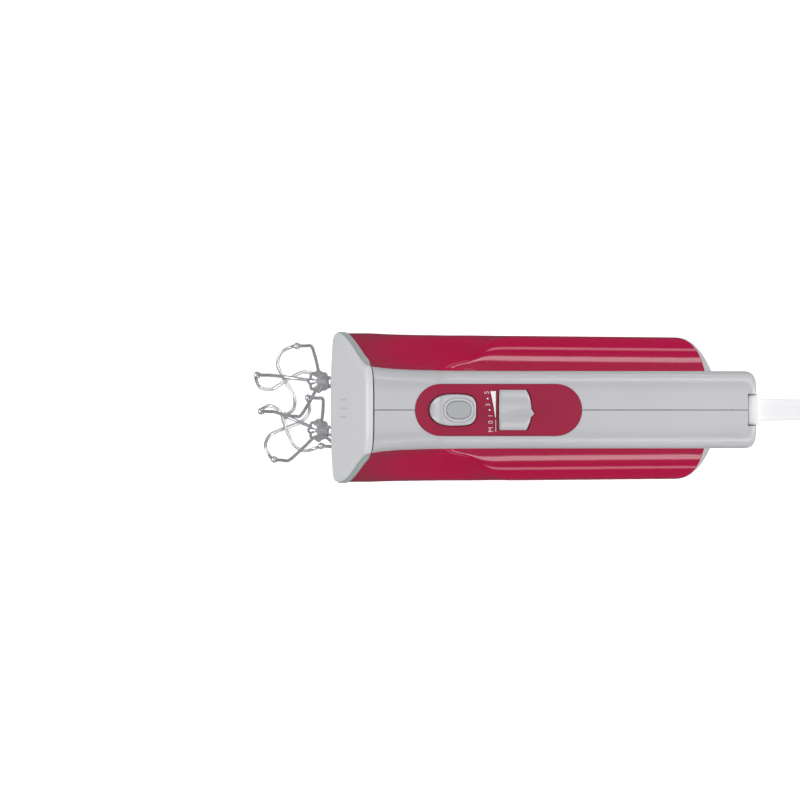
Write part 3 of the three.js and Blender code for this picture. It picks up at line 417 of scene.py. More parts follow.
def make_materials():
    m = finish_material
    return {
        "body_red": m("gloss_crimson", rgb(162, 16, 60), 0.09, mottle=0.02, bump=0.003, wear=0.1,
                      specular=0.42),
        "grip_silver": m("satin_silver", rgb(178, 178, 181), 0.36, 0.15, 0.02, grain=2600, bump=0.05,
                         specular=0.35),
        "nose_grey": m("pale_grey", rgb(204, 204, 206), 0.38, 0.05, 0.015, grain=2200, bump=0.04),
        "rim_grey": m("rim_grey", rgb(150, 160, 160), 0.5, mottle=0.03, grain=1800, bump=0.08, sheen=0.1),
        "panel_red": m("matte_crimson", rgb(146, 24, 58), 0.5, mottle=0.03, grain=3200, bump=0.1,
                       specular=0.2),
        "plate_foil": m("brushed_foil", rgb(198, 198, 200), 0.3, 0.8, 0.03, grain=700, bump=0.06,
                        stretch=(0.03, 1, 1)),
        "zinc": m("die_cast", rgb(143, 148, 150), 0.45, 0.85, 0.08, grain=700, bump=0.15),
        "bronze": m("sintered_bronze", rgb(181, 154, 90), 0.4, 0.9, 0.08, grain=2500, bump=0.12),
        "lamination": m("stacked_sheet", rgb(124, 128, 132), 0.42, 0.9, 0.08, grain=900, bump=0.2,
                        stretch=(3, 0.05, 0.05)),
        "copper": m("enamelled_copper", rgb(180, 100, 60), 0.32, 0.85, 0.1, grain=1200, bump=0.25,
                    stretch=(0.1, 2, 2)),
        "nylon": m("natural_nylon", rgb(228, 224, 210), 0.45, mottle=0.03, grain=1500, bump=0.06),
        "black_plastic": m("black_moulding", rgb(38, 39, 42), 0.5, mottle=0.1, grain=1600, bump=0.12),
        "carbon": m("pressed_carbon", rgb(46, 46, 48), 0.7, mottle=0.15, grain=2500, bump=0.2),
        "steel": m("ground_steel", rgb(201, 204, 208), 0.28, 0.95, 0.05, grain=900, bump=0.06,
                   stretch=(1, 1, 0.05)),
        "whisk_steel": m("polished_steel", rgb(206, 207, 210), 0.18, 0.65, 0.05, cloud=60, grain=1800,
                         bump=0.03, rounding=0.15),
        "cord_white": m("white_flex", rgb(226, 226, 227), 0.42, mottle=0.02, grain=2400, bump=0.08,
                        sheen=0.1),
        "tie_black": m("soft_tie", rgb(30, 30, 32), 0.6, mottle=0.12, grain=2200, bump=0.2),
        "scale_white": m("printed_white", rgb(240, 238, 238), 0.5, mottle=0.02, grain=3000, bump=0.03),
        "pad_grey": m("soft_pad", rgb(158, 160, 163), 0.55, mottle=0.04, grain=3000, bump=0.14),
        "trim_grey": m("trim_grey", rgb(176, 180, 182), 0.42, mottle=0.03, grain=2200, bump=0.06),
    }


MATERIALS = make_materials()


def dress(obj, body, slot, nodes=(), look=None):
    """Gives a piece its material, picked by slot or by look, hides the CAD nodes that it stands for, and
    attaches it to its body.
    """
    obj.data.materials.clear()
    obj.data.materials.append(MATERIALS[look or slot])
    if nodes:
        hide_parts(*nodes)
    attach(obj, body)
    return obj


# ---------- casing shapes ----------
COLUMN_FRONT = {"top": 14, "top_cap": 14, "bottom": -122, "bottom_cap": 18, "narrow": 22.2, "wide": 39.8,
                "flare_top": 14, "flare_bottom": -108, "power": 3}
COLUMN_REAR = {**COLUMN_FRONT, "narrow": 19.8, "wide": 38.5, "flare_top": -30, "flare_bottom": -84}
BARREL_START = {**COLUMN_REAR, "top": -30, "top_cap": 3}
BARREL = {**COLUMN_REAR, "top": -46, "top_cap": 30, "narrow": 38.2, "wide": 38.2, "power": 2.6}
GRIP_START = {**COLUMN_REAR, "top_cap": 12, "bottom": -30, "bottom_cap": 3}
GRIP = {**GRIP_START, "bottom_cap": 10, "narrow": 19.8, "wide": 19.8}


def mixed(first, second, t):
    return {key: lerp(first[key], second[key], t) for key in first}


def shifted(section, **by):
    return {**section, **{key: section[key] + value for key, value in by.items()}}


def flank_at(s, z):
    flare = smooth((s["flare_top"] - z) / (s["flare_top"] - s["flare_bottom"]))
    return lerp(s["narrow"], s["wide"], flare)


def section_level(y, z, s):
    """Below 0 inside the section and above 0 outside it."""
    rise = np.maximum(z - (s["top"] - s["top_cap"]), 0) / s["top_cap"]
    fall = np.maximum(s["bottom"] + s["bottom_cap"] - z, 0) / s["bottom_cap"]
    across = np.abs(y) / flank_at(s, z)
    return ((rise + fall) ** s["power"] + across ** s["power"]) ** (1 / s["power"]) - 1


GRID_STEP = 1.0
GRID_LOW = np.array([-146.0, -43.5, -126.5])
GRID_HIGH = np.array([84.0, 43.5, 18.5])


def as_distance(values):
    slopes = np.gradient(values, GRID_STEP)
    steepness = np.sqrt(sum(s * s for s in slopes))
    return np.clip(values / np.maximum(steepness, 0.02), -12, 12)


def blurred(values, rounds):
    for _ in range(rounds):
        for axis in range(3):
            padded = np.concatenate([values.take([0], axis), values, values.take([-1], axis)], axis)
            n = values.shape[axis]
            parts = [padded.take(range(k, k + n), axis) for k in range(3)]
            values = parts[0] * 0.25 + parts[1] * 0.5 + parts[2] * 0.25
    return values


def smooth_max(a, b, k):
    h = np.maximum(k - np.abs(a - b), 0) / k
    return np.maximum(a, b) + h * h * k / 4


def grid_axes(low=GRID_LOW):
    """The grid's places along X, Y and Z, each along its own axis of the grid."""
    x, y, z = (np.arange(lo, hi, GRID_STEP) for lo, hi in zip(low, GRID_HIGH))
    return x[:, None, None], y[None, :, None], z[None, None, :]


def gap_turn(x):
    """The angle round the finger gap's front end, from 0 at its tip to a right angle beside its middle."""
    return np.arccos(np.clip(1 - (x - FINGER_GAP["front"]) / FINGER_GAP["radius"], 0, 1))


def barrel_sections(x):
    """The body's sections behind the column: the shoulders swell out of it, then all are alike."""
    barrel = mixed(BARREL_START, BARREL, faded(x, SHOULDERS))
    barrel["top"] = FINGER_GAP["middle"] - FINGER_GAP["radius"] * np.sin(gap_turn(x))
    narrowing = np.clip((x - SHOULDERS[1]) / (BODY["rear_start"] - SHOULDERS[1]), 0, 1)
    narrowing = narrowing * (BODY["half"] - BODY["rear_half"])
    return shifted(barrel, narrow=-narrowing, wide=-narrowing)


def casing_field():
    """How far each grid point stands outside the whole casing, grip and body together."""
    x, y, z = grid_axes()
    column_part = 1 - np.exp(-np.maximum(x - SEAM["x"], 0) / 16)
    column = as_distance(section_level(y, z, mixed(COLUMN_FRONT, COLUMN_REAR, column_part)))
    below = as_distance(section_level(y, z, barrel_sections(x)))
    below = np.maximum(below, x - BODY["rear"])

    gap, radius, middle = FINGER_GAP["front"], FINGER_GAP["radius"], FINGER_GAP["middle"]
    turn = gap_turn(x)
    grip = mixed(GRIP_START, GRIP, smooth(turn / (math.pi / 2)))
    grip["narrow"] = grip["narrow"] + 2.4 * np.exp(-np.maximum(x - SEAM["x"], 0) / 16)
    grip["bottom"] = middle + radius * np.sin(turn)
    corner = HANDLE["corner"]
    into = np.clip((x - (HANDLE["rear"] - corner)) / corner, 0, 0.999)
    shrink = corner * (1 - np.sqrt(1 - into ** 2))
    grip = shifted(grip, narrow=-shrink, wide=-shrink, top=-shrink * 0.5, bottom=shrink * 0.5)
    above = np.maximum(as_distance(section_level(y, z, grip)), x - HANDLE["rear"])

    whole = np.where(x <= gap, column, np.minimum(below, above))
    slot_centre = gap + radius
    slot = np.hypot(np.minimum(x - slot_centre, 0), z - middle) - radius
    whole = np.maximum(whole, -slot + 0 * y)
    whole = smooth_max(whole, CHIN_X - x + 0 * whole, 4)
    return blurred(whole, 3)


def rear_cover_field(low):
    """How far each grid point stands outside the body's round rear end."""
    x, y, z = grid_axes(low)
    end = barrel_sections(x)
    along = np.clip((x - BODY["rear_start"]) / (BODY["rear"] - BODY["rear_start"]), 0, 0.9995)
    full = (1 - along ** 1.9) ** (1 / 1.9)
    tip = {**end, "narrow": 0, "wide": 0, "top": end["top"] - 6, "bottom": end["bottom"] + 16,
           "top_cap": 13, "bottom_cap": 10}
    end = mixed(tip, end, full)
    level = blurred(np.maximum(as_distance(section_level(y, z, end)), x - BODY["rear"]), 2)
    level[0] = 5
    return level


def surface_net(field, low):
    """A closed skin of four-sided faces where the field crosses zero."""
    inside = field < 0
    shape = np.array(field.shape) - 1
    strides = np.array([shape[1] * shape[2], shape[2], 1])
    size = int(np.prod(shape))
    sums = np.zeros((3, size))
    counts = np.zeros(size)
    quads = []
    for axis in range(3):
        n = field.shape[axis]
        lower = field.take(range(n - 1), axis)
        upper = field.take(range(1, n), axis)
        crossing = inside.take(range(n - 1), axis) != inside.take(range(1, n), axis)
        spots = np.argwhere(crossing)
        lo, hi = lower[crossing], upper[crossing]
        places = spots.astype(float)
        places[:, axis] += lo / (lo - hi)
        u, v = (axis + 1) % 3, (axis + 2) % 3
        keep = (spots[:, u] > 0) & (spots[:, v] > 0) & (spots[:, u] < shape[u]) & (spots[:, v] < shape[v])
        spots, places, lo = spots[keep], places[keep], lo[keep]
        corners = []
        for du, dv in ((-1, -1), (0, -1), (0, 0), (-1, 0)):
            cells = spots.copy()
            cells[:, u] += du
            cells[:, v] += dv
            flat = cells @ strides
            corners.append(flat)
            counts += np.bincount(flat, minlength=size)
            for k in range(3):
                sums[k] += np.bincount(flat, weights=places[:, k], minlength=size)
        loop = np.stack(corners, 1)
        quads.append(np.where((lo < 0)[:, None], loop, loop[:, ::-1]))
    used = np.flatnonzero(counts)
    number = np.full(size, -1)
    number[used] = np.arange(len(used))
    points = (sums[:, used] / counts[used]).T
    faces = number[np.concatenate(quads)]
    return settle(field, points) * GRID_STEP + low, faces


def sampled(values, points):
    """Values between the grid points."""
    base = np.clip(np.floor(points).astype(int), 0, np.array(values.shape) - 2)
    f = points - base
    total = 0
    for corner in range(8):
        d = [(corner >> k) & 1 for k in range(3)]
        weight = np.prod([f[:, k] if d[k] else 1 - f[:, k] for k in range(3)], axis=0)
        total = total + weight * values[base[:, 0] + d[0], base[:, 1] + d[1], base[:, 2] + d[2]]
    return total


def settle(field, points):
    """Moves points onto the field's zero along its slope."""
    slopes = np.gradient(field)
    for _ in range(3):
        value = sampled(field, points)
        slope = np.stack([sampled(s, points) for s in slopes], 1)
        length = np.maximum((slope ** 2).sum(1), 0.05)
        points = points - np.clip(value / length, -0.5, 0.5)[:, None] * slope
    return points


def nose_x(z):
    return lerp(NOSE["bottom_x"], NOSE["top_x"], (z - NOSE["bottom_z"]) / (NOSE["top_z"] - NOSE["bottom_z"]))


def rim_back(z):
    """How far behind the nose's face its rim ends."""
    upper = lerp(RIM_DEPTH["upper"], RIM_DEPTH["middle"], faded(z, RIM_DEPTH["upper_fade"]))
    lower = lerp(RIM_DEPTH["lower"], RIM_DEPTH["middle"], faded(z, RIM_DEPTH["lower_fade"]))
    return np.minimum(upper, lower)


def seam_line(offset):
    """The joint between grip and body, from the nose to the finger gap and on through it."""
    gap = FINGER_GAP["front"]
    slope = (FINGER_GAP["middle"] - SEAM["z"]) / (gap - SEAM["x"])
    start = -170
    return [(start, SEAM["z"] + slope * (start - SEAM["x"]) + offset),
            (gap + 3, FINGER_GAP["middle"] - 3 + offset), (150, FINGER_GAP["middle"])]


def beyond_seam(offset, far_z):
    """Everything between the joint and a height far above or below it."""
    return prism_tool(seam_line(offset) + [(150, far_z), (-170, far_z)], 80)


def nose_room():
    """The space that the nose cover and its rim take up."""
    z0, z1 = NOSE["bottom_z"] - RIM_PROUD - GAP, 40
    low, high = RIM_DEPTH["lower_fade"], RIM_DEPTH["upper_fade"][::-1]
    heights = [z0, *np.linspace(*low, 9), *np.linspace(*high, 14), z1]
    back = [(float(nose_x(z) + rim_back(z)) + GAP, z) for z in heights]
    return prism_tool([(-175, z0), *back, (-175, z1)], 80)


def vent_side(side):
    """Everything behind (1) or in front of (-1) the leaning joint of the rear cover."""
    (ux, uz), (lx, lz) = VENT["upper"], VENT["lower"]
    slope = (ux - lx) / (uz - lz)
    ends = [(lx + slope * (z - lz) - VENT["joint"] / 2 * side, z) for z in (-200, 60)]
    return prism_tool([ends[0], (200 * side, -200), (200 * side, 60), ends[1]], 80)


def half_side(side):
    """Everything on the other side of the middle plane from a half."""
    y0, y1 = (-99, 0.15) if side > 0 else (-0.15, 99)
    return box_tool((-300, y0, -300), (300, y1, 99))


def cylinder_tool(radius, low, high, axis, place):
    """A round tool along X or Y, between two places on it."""
    points, faces = lathe_faces([(radius, low), (radius, high)], 40)
    order = {"X": (2, 0, 1), "Y": (1, 2, 0)}[axis]
    return tool(points[:, order] + np.array(place), faces)


def stadium(x0, x1, half, inset=0.0, steps=20):
    turns = np.linspace(-math.pi / 2, math.pi / 2, steps)
    r = half - inset
    rear = [(x1 - half + r * math.cos(t), r * math.sin(t)) for t in turns]
    front = [(x0 + half - r * math.cos(t), -r * math.sin(t)) for t in turns]
    return rear + front


def port_tools():
    points, faces = lathe_faces([(6, -25), (6, 12)], 40)
    return [tool(to_drive(points, side), faces) for side in (-1, 1)]


def to_drive(points, side=0):
    """Points of the leaning drive, beside its middle by half the axis spacing, in the CAD frame."""
    points = np.asarray(points, float) + np.array([0, side * AXIS_SPACING / 2, 0])
    x, y, z = points.T
    c, s = math.cos(TILT), math.sin(TILT)
    return np.stack([x * c + z * s + PORT[0], y, -x * s + z * c + PORT[2]], 1)


def make_casings():
    field = casing_field()
    outer = surface_net(field, GRID_LOW)
    points, faces = surface_net((field[::2, ::2, ::2] + WALL) / 2, GRID_LOW / 2)
    inner = (points * 2, faces[:, ::-1])
    shell = relaxed(join_parts("casing", [outer, inner]))

    for name, side in SIDES.items():
        body = copy_of(shell, f"{name}_body_shell_piece")
        cut(body, [beyond_seam(-0.2, 60), nose_room(), vent_side(1), *port_tools(), half_side(side)])
        grip = copy_of(shell, f"{name}_handle_half_piece")
        window = plate_tool(stadium(PANEL["front"] - 0.1, PANEL["rear"] + 0.1, PANEL["half"] + 0.1), 5, 30)
        notch = box_tool((75.5, -8.15, -8.3), (90, 8.15, 30))
        bore = cylinder_tool(6.6, 60, 90, "X", (0, 0, 0))
        cut(grip, [beyond_seam(0.2, -200), nose_room(), window, notch, bore, half_side(side)])
        if side < 0:
            for part, (x, z) in zip((body, body, grip, grip), SCREW_BORES):
                cut(part, [cylinder_tool(2.9, -60, -12, "Y", (x, 0, z))])
        dress(finish_mesh(body), "housing", "body_red", [f"{name}_body_shell"])
        dress(finish_mesh(grip), "housing", "grip_silver", [f"{name}_handle_half"])
    bpy.data.objects.remove(shell)


def make_rear_cover():
    low = np.array([2.0, GRID_LOW[1], GRID_LOW[2]])
    field = rear_cover_field(low)
    outer = surface_net(field, low)
    points, faces = surface_net(field + WALL, low)
    cover = relaxed(join_parts("rear_vent_cover_piece", [outer, (points, faces[:, ::-1])]))
    slots = []
    for row in range(5):
        z = -76 - 7.5 * row
        for side in (-1, 1):
            outline = stadium(2.4, 18.5, 1.3, steps=10)
            rings = [[(x, side * u, z + v) for u, v in outline] for x in (20, 90)]
            slots.append(tool(*loft_faces(rings)))
    cut(cover, [vent_side(-1), *slots])
    dress(finish_mesh(cover), "housing", "grip_silver", ["rear_vent_cover"])


# ---------- nose ----------
def nose_outline(inset, cap_steps=16, flank_steps=26):
    """The nose's outline as (y, z) pairs, from the top round the -Y side and back up the +Y side."""
    s = {**COLUMN_FRONT, "top": NOSE["top_z"] + 1.8, "bottom": NOSE["bottom_z"], "bottom_cap": 6}
    power = 2 / s["power"]
    upper = s["top"] - inset - s["top_cap"]
    lower = s["bottom"] + inset + s["bottom_cap"]

    def spot(z, share=1.0):
        return (float(flank_at(s, z)) - inset) * share, z

    def cap(centre, height):
        turns = [i / cap_steps * math.pi / 2 for i in range(cap_steps + 1)]
        return [spot(centre + height * max(math.cos(a), 0) ** power, math.sin(a) ** power) for a in turns]

    flank = [spot(lerp(upper, lower, i / flank_steps)) for i in range(1, flank_steps)]
    side = cap(upper, s["top_cap"]) + flank + cap(lower, -s["bottom_cap"])[::-1]
    down = [(-y, z) for y, z in side]
    up = [(y, z) for y, z in side[1:-1]][::-1]
    return np.array(down + up)


def nose_ring(depth, inset, bow=NOSE_BOW, scale=1.0, crown=0.0):
    """A ring behind the leaning face, bowed back at its sides, or one drawn in towards its middle."""
    outline = nose_outline(inset)
    middle = np.array([0, -55.0])
    outline = middle + (outline - middle) * scale
    y, z = outline.T
    x = nose_x(z) + bow * (y / 39) ** 2 + depth - crown * (1 - scale ** 2)
    return np.stack([x, y, z], 1)


def beside_grip(ring):
    """1 where a nose ring lies against the grip's top and 0 along its flaring sides."""
    return smooth((ring[:, 2:] + 1) / 8)


def rim_ring(part, inset):
    """A ring of the rim, from its front edge (part 0) to its rear edge (1), sunk where it meets the grip."""
    proud = nose_ring(0, inset, bow=lerp(NOSE_BOW, 0, part))
    sunk = nose_ring(0, max(inset, 0.7), bow=lerp(NOSE_BOW, 0, part))
    ring = lerp(proud, sunk, beside_grip(proud))
    ring[:, 0] += lerp(NOSE["face"], rim_back(ring[:, 2]), part)
    return ring


def make_nose():
    rings = [nose_ring(0, 4.6, scale=s, crown=0.5) for s in (0.04, 0.2, 0.4, 0.6, 0.75, 0.87, 0.95)]
    rounding = [(0, 4.6), (0.06, 3.6), (0.24, 2.5), (0.55, 1.5), (1.0, 0.7), (1.5, 0.25), (2.1, 0)]
    rings += [nose_ring(depth, inset) for depth, inset in rounding]
    back = nose_ring(NOSE["face"] - 0.25, 0)
    back[:, :1] += beside_grip(back)
    rings += [back, nose_ring(NOSE["face"] - 0.25, WALL), nose_ring(2.2, WALL + 0.6)]
    rings += [nose_ring(2.2, WALL + 0.6, scale=s) for s in (0.8, 0.5, 0.2, 0.04)]
    dress(lofted("nose_cover_piece", rings), "housing", "nose_grey", ["nose_cover"])

    outside = [(0, 0.3), (0.02, -0.3), (0.09, -0.65), (0.2, -RIM_PROUD), (0.76, -RIM_PROUD), (0.9, -0.65),
               (0.98, -0.3), (1, 0.4), (1, 2.2), (0, 2.2)]
    rings = [rim_ring(part, inset) for part, inset in outside]
    dress(lofted("nose_rim_piece", rings, closed=True), "housing", "rim_grey", ["nose_rim"])

    ribs = []
    for y in (-4.5, 0, 4.5):
        outline = stadium(-74, -52, 0.9, steps=12)
        levels = [(0.3, 0.9), (-0.15, 0.9), (-0.4, 0.7), (-0.5, 0.3)]
        rings = [[(nose_x(z) + depth, y + w * share / 0.9, z) for z, w in outline]
                 for depth, share in levels]
        ribs.append(loft_faces(rings))
    dress(skinned("nose_trim_ribs", ribs, 40), "housing", "nose_grey", look="trim_grey")


# ---------- controls ----------
def grip_top(y):
    """The height of the grip's crowned top at a distance from the middle."""
    return 2 + 12 * (1 - np.minimum(np.abs(y) / HANDLE["half"], 1) ** 3) ** (1 / 3)


def knob_rear(y):
    """How far back the speed knob reaches: its rear edge bows out, with a pointer at its ridge."""
    angle = math.asin(max(-0.99, min(0.99, y / KNOB["radius"])))
    off = (angle - KNOB["ridge"]) * KNOB["radius"]
    return KNOB["rear"] + 2.3 * (1 - min(abs(angle) / 0.79, 1) ** 2) + 1.5 * max(0, 1 - abs(off) / 2.2)


def make_panel():
    levels = [(0, None), (0, -0.6), (0.08, -0.25), (0.25, -0.06), (0.55, 0)]
    levels += [(inset, 0) for inset in (1.2, 2.5, 4, 5.5, 7, 8.5, 10, 11.5, 12.6, 13.1)]
    rings = []
    for inset, drop in levels:
        outline = np.array(stadium(PANEL["front"], PANEL["rear"], PANEL["half"], inset, 28))
        if drop is None:
            z = np.full(len(outline), PANEL["bottom"])
        else:
            z = grip_top(outline[:, 1]) + PANEL["lift"] + drop
        rings.append(np.column_stack([outline, z]))
    panel = lofted("control_panel_piece", rings)
    button_hole = plate_tool(button_outline(-0.4), 0, 30)
    half, front = KNOB["half"], KNOB["front"] - 0.35
    rear = [(knob_rear(y) + 0.4, y) for y in np.linspace(-half, half, 41)]
    hole = [(front, -half), *rear, (front, half)]
    cut(panel, [button_hole, plate_tool(hole, 0, 30)])
    dress(finish_mesh(panel), "housing", "panel_red", ["control_panel"])

    well = lofted("control_well", [
        [(x, y, z) for x, y in stadium(PANEL["front"] + 1, PANEL["rear"] - 1, PANEL["half"] - 1.2)]
        for z in (9.6, 10.3)])
    room = box_tool((KNOB["front"] - 2, -KNOB["half"], 5), (KNOB["rear"] + 4, KNOB["half"], 30))
    cut(well, [room, plate_tool(button_outline(-0.4), 0, 30)])
    dress(finish_mesh(well), "housing", "black_plastic")


def button_outline(inset, steps=72):
    """The eject button seen from above: a round front end and a squarer rear end."""
    middle = (BUTTON["front"] + BUTTON["rear"]) / 2
    a = (BUTTON["rear"] - BUTTON["front"]) / 2 - inset
    b = BUTTON["half"] - inset
    points = []
    for i in range(steps):
        t = 2 * math.pi * i / steps
        c, s = math.cos(t), math.sin(t)
        power = lerp(2.25, 3.6, float(smooth((c + 0.3) / 0.9)))
        points.append((middle + a * math.copysign(abs(c) ** (2 / power), c),
                       b * math.copysign(abs(s) ** (2 / power), s)))
    return points


def octagon(front, rear, half, inset=0.0, steps=64):
    """A rounded eight-sided outline."""
    middle, a, b = (front + rear) / 2, (rear - front) / 2 - inset, half - inset
    points = []
    for i in range(steps):
        t = 2 * math.pi * i / steps
        c, s = abs(math.cos(t)) / a, abs(math.sin(t)) / b
        reach = (c ** 12 + s ** 12 + ((c + s) / 1.5) ** 12) ** (-1 / 12)
        points.append((middle + reach * math.cos(t), reach * math.sin(t)))
    return points


def rounded_box(low, high, radius, steps=6):
    (x0, y0), (x1, y1) = low, high
    corners = [(x1 - radius, y1 - radius, 0), (x0 + radius, y1 - radius, 90),
               (x0 + radius, y0 + radius, 180), (x1 - radius, y0 + radius, 270)]
    points = []
    for cx, cy, start in corners:
        for i in range(steps + 1):
            t = math.radians(start + 90 * i / steps)
            points.append((cx + radius * math.cos(t), cy + radius * math.sin(t)))
    return points


def pad_rings(top, levels):
    """The pad's outline drawn in by each level's inset, at each level's height above a top."""
    return [[(x, y, top + rise) for x, y in octagon(PAD["front"], PAD["rear"], PAD["half"], inset)]
            for inset, rise in levels]


def make_button():
    def top_at(x):
        return lerp(14.2, BUTTON["top"], float(smooth((x - BUTTON["front"] - 0.6) / 7.2)))

    levels = [(0, None), (0, -1.3), (0.12, -0.7), (0.45, -0.25), (1.0, -0.03), (1.6, 0)]
    levels += [(inset, 0) for inset in (2.4, 3.2, 4, 5, 6, 7, 7.8)]
    rings = []
    for inset, drop in levels:
        rings.append([(x, y, BUTTON["bottom"] if drop is None else top_at(x) + drop)
                      for x, y in button_outline(inset)])
    button = lofted("eject_button_piece", rings, angle=50)
    groove = octagon(PAD["front"] - 0.3, PAD["rear"] + 0.3, PAD["half"] + 0.3)
    lip = pad_rings(BUTTON["top"], [(-2.05, 0.2), (-1.75, -0.35), (-1.45, 0.2)])
    cut(button, [plate_tool(groove, BUTTON["top"] - 0.8, 30), tool(*loft_faces(lip, closed=True))])
    dress(finish_mesh(button, 40), "ejector", "grip_silver", ["eject_button"])

    levels = [(0, BUTTON["top"] - 0.75 - PAD["top"]), (0, -0.35), (0.1, -0.12), (0.35, 0), (1.5, -0.05),
              (3, -0.12), (4.2, -0.15)]
    pad = lofted("eject_button_pad_piece", pad_rings(PAD["top"], levels), angle=50)
    dress(pad, "ejector", "rim_grey", ["eject_button_pad"], look="pad_grey")


def make_knob():
    """A drum sector with rounded edges, a rear edge that bows out, and a ridge that grows into a pointer."""
    half_angle, hub = 1.45, 4.2
    rings = []
    for i in range(145):
        angle = lerp(-half_angle, half_angle, i / 144)
        off = (angle - KNOB["ridge"]) * KNOB["radius"]
        rear = knob_rear(KNOB["radius"] * math.sin(angle))
        ring = [(KNOB["front"], hub), (KNOB["front"], 13.9), (KNOB["front"] + 0.15, 14.25),
                (KNOB["front"] + 0.5, 14.5)]
        for j in range(1, 13):
            part = j / 12
            x = lerp(KNOB["front"] + 0.5, rear - 0.5, part)
            width = lerp(0.7, 2.3, part)
            rise = lerp(0.15, 2.1, part) * max(0, 1 - abs(off) / width) * min(1, part * 4)
            ring.append((x, KNOB["radius"] + rise))
        tip = ring[-1][1]
        inner = min(rear, KNOB["rear"] + 1.9)
        ring += [(rear - 0.12, tip - 0.3), (rear, tip - 0.7), (inner, 11.4), (inner, hub)]
        rings.append([(x, r * math.sin(angle), KNOB["pivot"] + r * math.cos(angle)) for x, r in ring])
    knob = lofted("speed_knob_piece", rings, angle=40)
    dress(knob, "speed_drum", "grip_silver", ["speed_knob"])


PRINT = 0.035


def text_faces(letter, place, size):
    """A raised letter or digit whose top points towards -X, as points and faces."""
    data = bpy.data.curves.new("letter", "FONT")
    data.body, data.size, data.extrude, data.offset = letter, size, PRINT, -0.012 * size
    data.align_x, data.align_y = "CENTER", "CENTER"
    obj = new_object("letter", data)
    mesh = bpy.data.meshes.new_from_object(obj.evaluated_get(bpy.context.evaluated_depsgraph_get()))
    points = np.array([v.co for v in mesh.vertices])
    faces = [tuple(p.vertices) for p in mesh.polygons]
    bpy.data.objects.remove(obj)
    turned = np.stack([-points[:, 1] + place[0], points[:, 0] + place[1], points[:, 2]], 1)
    return turned, faces


def make_scale():
    """The speed marks: letter, digits, dots and a wedge, lying on the crowned panel."""
    marks = [("M", (-55.6, -10)), ("0", (-55.7, -6.2)), ("1", (-55.8, -3)), ("3", (-57.1, 2.6)),
             ("5", (-57.7, 8.9))]
    parts = [text_faces(letter, place, 3.5) for letter, place in marks]
    for x, y in ((-56.3, 0), (-57.3, 5.8)):
        points, faces = lathe_faces([(0.45, -PRINT), (0.45, PRINT)], 16)
        parts.append((points + np.array([x, y, 0]), faces))
    wedge_y, wedge_x = (-3.7, 2.5, 7, 9.6), (-53.5, -54.4, -55.3, -55.9)
    bars = ((wedge_x, -53.1, -3.7, 9.6), ((-53.3,) * 4, -53.05, -11.2, -4.7))
    for front, rear, low, high in bars:
        rings = []
        for y in np.linspace(low, high, 30):
            x = np.interp(y, wedge_y, front)
            rings.append([(x, y, PRINT), (rear, y, PRINT), (rear, y, -PRINT), (x, y, -PRINT)])
        parts.append(loft_faces(rings))
    scale = join_parts("speed_scale", parts)
    for vertex in scale.data.vertices:
        vertex.co.z += (float(grip_top(vertex.co.y / MM)) + PANEL["lift"] + 0.03) * MM
    dress(finish_mesh(scale), "housing", "grip_silver", look="scale_white")


# ---------- whisks ----------
def through(points, per_span=7):
    """A centripetal Catmull-Rom curve through points."""
    p = [np.array(q, float) for q in points]
    p = [2 * p[0] - p[1], *p, 2 * p[-1] - p[-2]]
    out = []
    for i in range(len(p) - 3):
        knots = [0]
        for a, b in zip(p[i:i + 3], p[i + 1:i + 4]):
            knots.append(knots[-1] + max(np.linalg.norm(b - a), 1e-4) ** 0.5)
        for k in range(per_span):
            t = lerp(knots[1], knots[2], k / per_span)
            row = p[i:i + 4]
            for spans in (((0, 1), (1, 2), (2, 3)), ((0, 2), (1, 3)), ((1, 2),)):
                row = [(a * (knots[v] - t) + b * (t - knots[u])) / (knots[v] - knots[u])
                       for (u, v), a, b in zip(spans, row, row[1:])]
            out.append(row[0])
    out.append(p[-2])
    return np.array(out)


def whisk_wire(phase, hand, drop):
    hub, tip, radius = WHISK["hub"], WHISK["tip"], WHISK["radius"]
    half_path = [
        (4.8, hub - 3.2 - drop), (10, hub - 11 - drop), (15, hub - 20), (18.7, hub - 27.5),
        (radius, hub - 33), (radius, hub - 44), (radius, hub - 55), (radius, hub - 66),
        (19.3, hub - 71.5), (16.2, tip + 7.4), (10.5, tip + 3.8 + drop), (5, tip + 1.9 + drop)]

    def spot(r, z, start):
        swirl = hand * WHISK["swirl"] * (1 - (r / radius) ** 4) if z < hub - 60 else 0
        return (r * math.cos(start + swirl), r * math.sin(start + swirl), z)

    down = [spot(r, z, phase) for r, z in half_path]
    up = [spot(r, z, phase + math.pi) for r, z in reversed(half_path)]
    return through([*down, (0, 0, tip + 0.9 + drop), *up])


def bead_faces(phase):
    """A small crimped bead round the wire, with a groove round its middle."""
    r = WHISK["bead"]
    profile = []
    for t in np.linspace(-math.pi / 2, math.pi / 2, 15):
        groove = 1 - 0.12 * math.exp(-(math.sin(t) / 0.16) ** 2)
        profile.append((max(r * math.cos(t) * groove, 0.02), r * math.sin(t)))
    points, faces = lathe_faces(profile, 24)
    x, y = WHISK["radius"] * math.cos(phase), WHISK["radius"] * math.sin(phase)
    return points + np.array([x, y, WHISK["hub"] - WHISK["bead_depth"]]), faces


